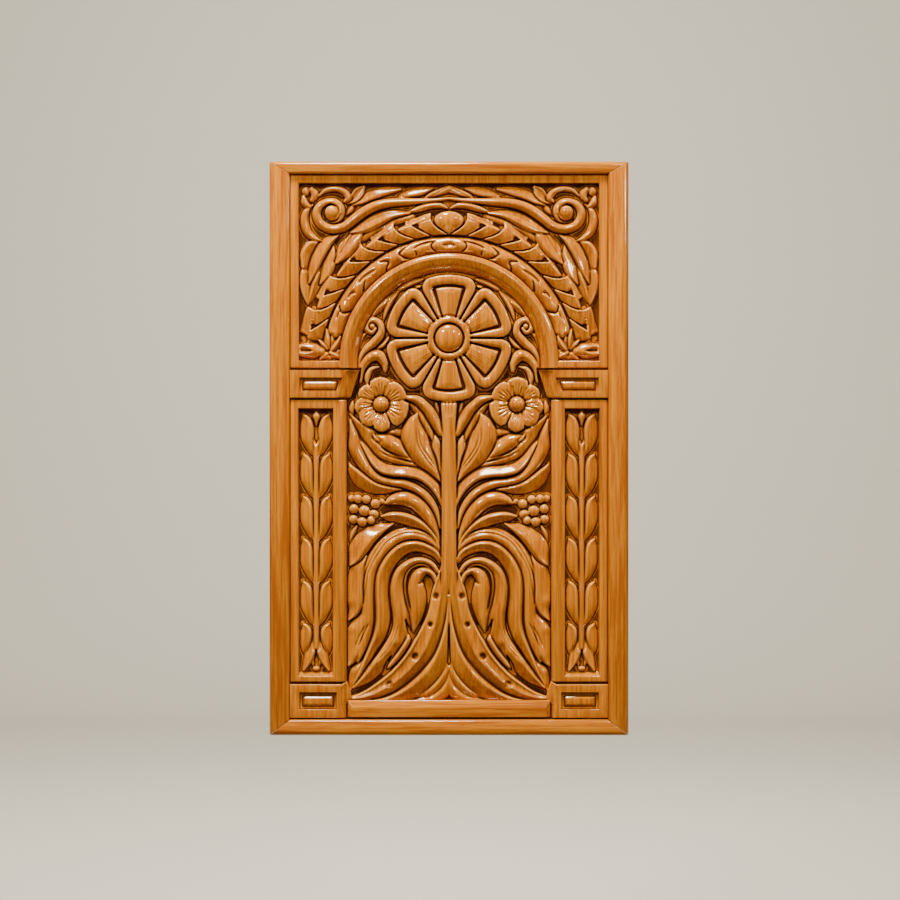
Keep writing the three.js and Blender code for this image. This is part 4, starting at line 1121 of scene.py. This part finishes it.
def panelled_block(name, front, levels, corners, bar_corners, hip):
    """A block with a pocket sunk into its front, a hipped bar in the pocket and every edge eased."""
    body = raised("left " + name, levels)
    floor = front - PANEL_SINK
    middle = np.mean(corners, axis=0)
    pocket_floor = [tuple(middle + (np.array(c) - middle) * POCKET_TAPER) for c in corners]
    cut_away(body, raised("pocket", [at_depth(pocket_floor, floor), at_depth(corners, floor + 9)]))
    middle_z = (bar_corners[0][1] + bar_corners[2][1]) / 2
    top = [(x + math.copysign(hip, middle[0] - x), z + math.copysign(hip * 0.7, middle_z - z))
           for x, z in bar_corners]
    bar = raised("bar", [at_depth(bar_corners, floor - 0.5), at_depth(bar_corners, floor + 0.7),
                         at_depth(top, front - BAR_DROP)])
    finished(bar, 0.5, shading=25)
    # painted shade round the foot of the bar, where it meets the pocket floor
    foot_shade = bar.data.attributes["cuts"].data
    for vertex in bar.data.vertices:
        if -vertex.co.y < (floor + 1.2) * MM:
            foot_shade[vertex.index].value = BAR_FOOT_SHADE
    finished(body, 1.3, angle=12)
    keep_pair(joined("left " + name, [body, bar]), name)


capital_front = BLOCK_BACK + CAPITAL_FRONT
flare = []
face_edge = []
FLARE_STEPS = 10
for i in range(FLARE_STEPS + 1):
    share = i / FLARE_STEPS
    z = CAPITAL_BOTTOM + 1 + (CAPITAL_HEIGHT - 2.2) * share
    flare.append((-NICHE_HALF + 4.2 + (CAPITAL_OVERHANG - 5.4) * share, z))
    face_edge.append((-NICHE_HALF - 8 + 5.4 * share + 5 * max(0, share - 0.8), z))
capital_line = [(-INNER_HALF, CAPITAL_BOTTOM), (-NICHE_HALF + 2.6, CAPITAL_BOTTOM), *flare,
                (-NICHE_HALF + CAPITAL_OVERHANG - 0.4, CAPITAL_TOP), (-INNER_HALF, CAPITAL_TOP)]
capital_face = [(-INNER_HALF, CAPITAL_BOTTOM), (-NICHE_HALF - 9, CAPITAL_BOTTOM), *face_edge,
                (-NICHE_HALF + CAPITAL_OVERHANG - 9, CAPITAL_TOP), (-INNER_HALF, CAPITAL_TOP)]
panelled_block("capital", capital_front,
               [at_depth(capital_line, BLOCK_BACK), at_depth(capital_line, capital_front - 7),
                at_depth(capital_face, capital_front)],
               sheet_outline((300, 391), (339.5, 391), (343.5, 377), (300, 377)),
               sheet_outline((302.8, 389.6), (337, 389.6), (339.5, 380), (302.8, 380)), 4.0)

base_front = BLOCK_BACK + BASE_FRONT
base_line = sheet_outline((290.8, 718), (347, 718), (347, 704), (350.5, 701.5), (352.3, 697), (351, 691),
                          (349, 685), (347.3, 681.4), (342, 684.4), (290.8, 684.4))
base_face = sheet_outline((290.8, 718), (345, 718), (342, 705), (340.5, 701.5), (339.5, 697), (340.2, 691),
                          (342.4, 687.4), (343.6, 685.4), (341, 684.6), (290.8, 684.4))
panelled_block("base", base_front,
               [at_depth(base_line, BLOCK_BACK), at_depth(base_line, base_front - 4.5),
                at_depth(base_face, base_front)],
               sheet_outline((300, 709.5), (337.5, 709.5), (337.5, 692.5), (300, 692.5)),
               sheet_outline((302.6, 706.8), (335, 706.8), (335, 695.8), (302.6, 695.8)), 3.8)

INNER_ROUND = 5.2
RIM = 0.9
pilaster_front = BLOCK_BACK + PILASTER_FRONT
field_floor = pilaster_front - PILASTER_FIELD_DEPTH
section = [(-INNER_HALF, BLOCK_BACK), (-INNER_HALF, pilaster_front - 1.6),
           (-INNER_HALF + 0.6, pilaster_front - 0.6), (-INNER_HALF + 1.8, pilaster_front)]
for i in range(9):
    turn = math.pi / 2 * i / 8
    section.append((-NICHE_HALF - INNER_ROUND * (1 - math.sin(turn)),
                    pilaster_front - INNER_ROUND * (1 - math.cos(turn))))
section.append((-NICHE_HALF, BLOCK_BACK))
pilaster = raised("left pilaster", [[(x, depth, z) for x, depth in section]
                                    for z in (PILASTER_BOTTOM, PILASTER_TOP)])
left = -INNER_HALF + PILASTER_OUTER_BAND
right = -NICHE_HALF - PILASTER_INNER_BAND
bottom = PILASTER_BOTTOM + PILASTER_END_BAND
top = PILASTER_TOP - PILASTER_END_BAND
mouth = rectangle(left - RIM, right + RIM, bottom - RIM * 5, top + RIM)
cut_away(pilaster, raised("pocket", [at_depth(rectangle(left, right, bottom, top), field_floor),
                                     at_depth(mouth, pilaster_front + 1)]))
finished(pilaster, 0.7, angle=12)
strip = field_sheet()
in_field = (strip.X >= AXIS + left - 0.5) & (strip.X <= AXIS + right + 0.5)
in_field &= (strip.Y >= LEVEL - top - 0.5) & (strip.Y <= LEVEL - bottom + 0.5)
leaves = carved_solid("leaf strip", strip, in_field, field_floor + LAP, field_floor - OVERLAP, 45000,
                      symmetrical=False)
print("leaf strip polygons", len(leaves.data.polygons), "open edges", open_edges(leaves))
keep_pair(joined("left pilaster", [pilaster, leaves]), "pilaster")

sill_front = BLOCK_BACK + SILL_FRONT
sill_half = NICHE_HALF - GROOVE / 2
sill_levels = []
for depth, top_drop, end_drop in ((BLOCK_BACK, 0, 0), (sill_front - 3.6, 0, 0), (sill_front, 7, 4.6)):
    end = sill_half - end_drop
    sill_levels.append(at_depth(rectangle(-end, end, BASE_BOTTOM, SILL_TOP - top_drop), depth))
keep_piece(finished(raised("sill", sill_levels), 0.7, angle=12), "sill", "sill_wood")

# %% [markdown]
# ## Wood and varnish
# Close up, the wood is a light brown hardwood with fine dark pores in long streaks, under a warm, glossy
# varnish. The cuts and hollows are painted nearly black-brown as painted shade, partly standing for stain
# gathered in them, and the high edges are painted light as a painted highlight. One node group makes the
# streaks, the pores, the painted shade and the painted highlight, and each slot sets its own values and its
# own direction of grain.

# %% Wood group


def varnished_wood_group():
    """The node group of streaks, pores, painted shade in the hollows and painted highlights on the edges."""
    group = bpy.data.node_groups.new("streaky wood with painted shade and highlight", "ShaderNodeTree")
    face_in = group.interface.new_socket
    face_in("Place", in_out="INPUT", socket_type="NodeSocketVector")
    # the lighter colour painted on high edges as a highlight, and the near black-brown colour painted in
    # hollows and cuts as shade
    for socket, value in (("Light wood", (0.66, 0.31, 0.075, 1)), ("Dark wood", (0.40, 0.14, 0.022, 1)),
                          ("Highlight colour", (0.92, 0.5, 0.13, 1)), ("Shade colour", (0.055, 0.014, 0.002, 1))):
        face_in(socket, in_out="INPUT", socket_type="NodeSocketColor").default_value = value
    for socket, value in (("Hollow", 0.0), ("Cuts", 0.0), ("Edge highlight", 0.0), ("Streaks", 1.0)):
        face_in(socket, in_out="INPUT", socket_type="NodeSocketFloat").default_value = value
    for socket, kind in (("Color", "NodeSocketColor"), ("Roughness", "NodeSocketFloat"),
                         ("Height", "NodeSocketFloat"), ("Gloss", "NodeSocketFloat")):
        face_in(socket, in_out="OUTPUT", socket_type=kind)
    nodes = group.nodes
    links = group.links
    start = nodes.new("NodeGroupInput")
    end = nodes.new("NodeGroupOutput")

    def noise(scale, detail, roughness, distortion=0.0):
        node = nodes.new("ShaderNodeTexNoise")
        node.inputs["Scale"].default_value = scale
        node.inputs["Detail"].default_value = detail
        node.inputs["Roughness"].default_value = roughness
        node.inputs["Distortion"].default_value = distortion
        links.new(start.outputs["Place"], node.inputs["Vector"])
        return node.outputs["Fac"]

    def math_node(operation, first, second, clamp=False):
        node = nodes.new("ShaderNodeMath")
        node.operation = operation
        node.use_clamp = clamp
        for socket, value in zip(node.inputs, (first, second)):
            if isinstance(value, float):
                socket.default_value = value
            else:
                links.new(value, socket)
        return node.outputs[0]

    def spread(value, low, high, to_low=0.0, to_high=1.0):
        node = nodes.new("ShaderNodeMapRange")
        node.interpolation_type = "SMOOTHSTEP"
        links.new(value, node.inputs["Value"])
        ends = {"From Min": low, "From Max": high, "To Min": to_low, "To Max": to_high}
        for socket, number in ends.items():
            node.inputs[socket].default_value = number
        return node.outputs["Result"]

    def blend(share, first, second):
        node = nodes.new("ShaderNodeMix")
        node.data_type = "RGBA"
        links.new(share, node.inputs["Factor"])
        links.new(first, node.inputs["A"])
        links.new(second, node.inputs["B"])
        return node.outputs["Result"]

    broad = spread(noise(0.22, 3, 0.55, 0.4), 0.3, 0.7)
    streak = spread(noise(1.0, 5, 0.66, 0.25), 0.36, 0.64)
    pores = spread(noise(3.4, 3, 0.6), 0.56, 0.74)
    darker = math_node("ADD", math_node("MULTIPLY", broad, 0.42), math_node("MULTIPLY", streak, 0.62))
    darker = math_node("ADD", darker, math_node("MULTIPLY", pores, 0.35))
    darker = math_node("MULTIPLY", darker, start.outputs["Streaks"], clamp=True)
    wood = blend(darker, start.outputs["Light wood"], start.outputs["Dark wood"])
    # painted highlight: the high edges turn lighter
    wood = blend(spread(start.outputs["Edge highlight"], 0.1, 0.9, 0.0, 0.4), wood, start.outputs["Highlight colour"])
    # painted shade: hollows and cuts turn nearly black-brown, partly standing for stain
    painted_shade_share = math_node("ADD", spread(start.outputs["Hollow"], 0.0, 0.5, 0.0, 0.93),
                         spread(start.outputs["Cuts"], 0.04, 0.4, 0.0, 0.95), clamp=True)
    links.new(blend(painted_shade_share, wood, start.outputs["Shade colour"]), end.inputs["Color"])
    links.new(spread(painted_shade_share, 0.1, 0.8, 0.95, 0.1), end.inputs["Gloss"])
    links.new(math_node("ADD", math_node("MULTIPLY", pores, 0.1), spread(broad, 0.0, 1.0, 0.42, 0.56)),
              end.inputs["Roughness"])
    links.new(math_node("SUBTRACT", math_node("MULTIPLY", streak, 0.4), pores), end.inputs["Height"])
    return group


wood_group = varnished_wood_group()


def varnished_wood(name, grain_scale, light, dark, streaks):
    """Material of one slot. Its scale per metre is small along the grain and large across it."""
    material = bpy.data.materials.new(name)
    material.use_nodes = True
    nodes = material.node_tree.nodes
    links = material.node_tree.links
    shader = nodes["Principled BSDF"]
    place = nodes.new("ShaderNodeTexCoord")
    stretch = nodes.new("ShaderNodeMapping")
    stretch.inputs["Scale"].default_value = grain_scale
    links.new(place.outputs["Object"], stretch.inputs["Vector"])
    wood = nodes.new("ShaderNodeGroup")
    wood.node_tree = wood_group
    wood.inputs["Light wood"].default_value = (*light, 1)
    wood.inputs["Dark wood"].default_value = (*dark, 1)
    wood.inputs["Streaks"].default_value = streaks
    links.new(stretch.outputs["Vector"], wood.inputs["Place"])
    # the painted shade of hollows and cuts and the painted highlight of edges, stored on the points
    for attribute, socket in (("hollow", "Hollow"), ("cuts", "Cuts"), ("edge_highlight", "Edge highlight")):
        stored = nodes.new("ShaderNodeAttribute")
        stored.attribute_name = attribute
        links.new(stored.outputs["Fac"], wood.inputs[socket])
    links.new(wood.outputs["Color"], shader.inputs["Base Color"])
    links.new(wood.outputs["Roughness"], shader.inputs["Roughness"])
    bump = nodes.new("ShaderNodeBump")
    bump.inputs["Strength"].default_value = 0.45
    bump.inputs["Distance"].default_value = 0.0003
    links.new(wood.outputs["Height"], bump.inputs["Height"])
    links.new(bump.outputs["Normal"], shader.inputs["Normal"])
    shader.inputs["Specular IOR Level"].default_value = 0.03
    links.new(wood.outputs["Gloss"], shader.inputs["Coat Weight"])
    shader.inputs["Coat Roughness"].default_value = 0.1
    shader.inputs["Coat IOR"].default_value = 1.65
    return material


UPRIGHT = (420, 420, 16)
LEVEL_GRAIN = (16, 420, 420)
HONEY = (0.72, 0.262, 0.008)
AMBER = (0.40, 0.098, 0.002)
MATERIALS = {
    "frame_wood": varnished_wood("frame wood", UPRIGHT, HONEY, AMBER, 1.15),
    "carved_wood": varnished_wood("carved wood", UPRIGHT, HONEY, AMBER, 1.0),
    "block_wood": varnished_wood("block wood", UPRIGHT, HONEY, AMBER, 1.0),
    "sill_wood": varnished_wood("sill wood", LEVEL_GRAIN, HONEY, AMBER, 1.15),
}
level_frame_wood = varnished_wood("level frame wood", LEVEL_GRAIN, HONEY, AMBER, 1.15)
print("materials", sorted(MATERIALS))

# %% [markdown]
# ## Standing for the solids
# Every surface made here rides on the one body, stands for its solid and takes its slot's finish.

# %% Hand over the pieces
for node, (obj, slot_name) in PIECES.items():
    obj.name = node + "_carved"
    obj.data.name = obj.name
    obj.data.materials.clear()
    level = node in ("frame_top_rail", "frame_bottom_rail")
    obj.data.materials.append(level_frame_wood if level else MATERIALS[slot_name])
    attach(obj, "root")
    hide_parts(node)
print("pieces", len(PIECES))

# %% [markdown]
# ## Studio
# A pale sweep behind and under the plaque, one broad soft light high above, and smaller ones to the upper
# left and right, whose reflections make the glossy highlights. One more lights the sweep only, which stands
# far enough back for a view of the plain back. The camera looks square-on from far away.

# %% Studio


def soft_light(name, place, target, size, power):
    """A round warm light that looks at its target."""
    data = bpy.data.lights.new(name, "AREA")
    data.shape = "DISK"
    data.size = size
    data.energy = power
    data.color = (1, 0.9, 0.72)
    lamp = bpy.data.objects.new(name, data)
    bpy.context.scene.collection.objects.link(lamp)
    lamp.location = place
    aim = np.array(target) - np.array(place)
    aim = aim / np.linalg.norm(aim)
    lamp.rotation_euler = (math.acos(-aim[2]), 0, math.atan2(aim[0], -aim[1]) + math.pi)


SWEEP_SIZE = 16
SWEEP_LEVEL = -0.62
SWEEP_DEPTH = 3.5
SWEEP_HEIGHT = 4
MIDDLE = (0, 0, 0)
bpy.ops.object.select_all(action="DESELECT")
bpy.ops.mesh.primitive_plane_add(size=SWEEP_SIZE, location=(0, SWEEP_SIZE / 2, SWEEP_LEVEL))
floor = bpy.context.object
floor.name = "pale_sweep"
bpy.ops.object.mode_set(mode="EDIT")
bpy.ops.mesh.select_mode(type="EDGE")
bpy.ops.mesh.select_all(action="DESELECT")
bpy.ops.object.mode_set(mode="OBJECT")
for edge in floor.data.edges:
    edge.select = all(floor.data.vertices[i].co.y > 0 for i in edge.vertices)
bpy.ops.object.mode_set(mode="EDIT")
bpy.ops.transform.translate(value=(0, SWEEP_DEPTH - SWEEP_SIZE, 0))
bpy.ops.mesh.extrude_region_move(TRANSFORM_OT_translate={"value": (0, 0, SWEEP_HEIGHT)})
bpy.ops.object.mode_set(mode="OBJECT")
sweep = floor.modifiers.new("curved foot", "BEVEL")
sweep.width = 0.45
sweep.segments = 12
only(floor)
bpy.ops.object.modifier_apply(modifier=sweep.name)
bpy.ops.object.shade_smooth()
pale = bpy.data.materials.new("pale paper")
pale.use_nodes = True
pale.node_tree.nodes["Principled BSDF"].inputs["Base Color"].default_value = (0.72, 0.71, 0.69, 1)
pale.node_tree.nodes["Principled BSDF"].inputs["Roughness"].default_value = 0.9
floor.data.materials.append(pale)

soft_light("key light", (-0.25, -0.8, 2.0), MIDDLE, 0.7, 108)
soft_light("left light", (-0.9, -1.5, 1.2), MIDDLE, 0.26, 23)
soft_light("right light", (0.78, -1.85, 1.3), MIDDLE, 0.22, 11)
soft_light("edge light", (1.3, -1.0, 0.7), MIDDLE, 0.2, 6)
soft_light("wall light", (0, 0.6, 1.2), (0, SWEEP_DEPTH, 0.4), 0.8, 60)
world = bpy.data.worlds.new("studio")
bpy.context.scene.world = world
world.use_nodes = True
world.node_tree.nodes["Background"].inputs["Color"].default_value = (1.0, 0.84, 0.6, 1)
world.node_tree.nodes["Background"].inputs["Strength"].default_value = 0.16

# the camera stands a touch right of the middle and a touch low
CAMERA_FAR = 2.4
PICTURE_WIDTH = 0.9
SENSOR = 36
lens = bpy.data.cameras.new("camera")
lens.sensor_width = SENSOR
lens.lens = SENSOR * CAMERA_FAR / PICTURE_WIDTH
lens.clip_end = 50
camera = bpy.data.objects.new("camera", lens)
bpy.context.scene.collection.objects.link(camera)
camera.location = (0.001, -CAMERA_FAR - FRAME_DEPTH * MM, -0.0015)
camera.rotation_euler = (math.pi / 2, 0, 0)
bpy.context.scene.camera = camera
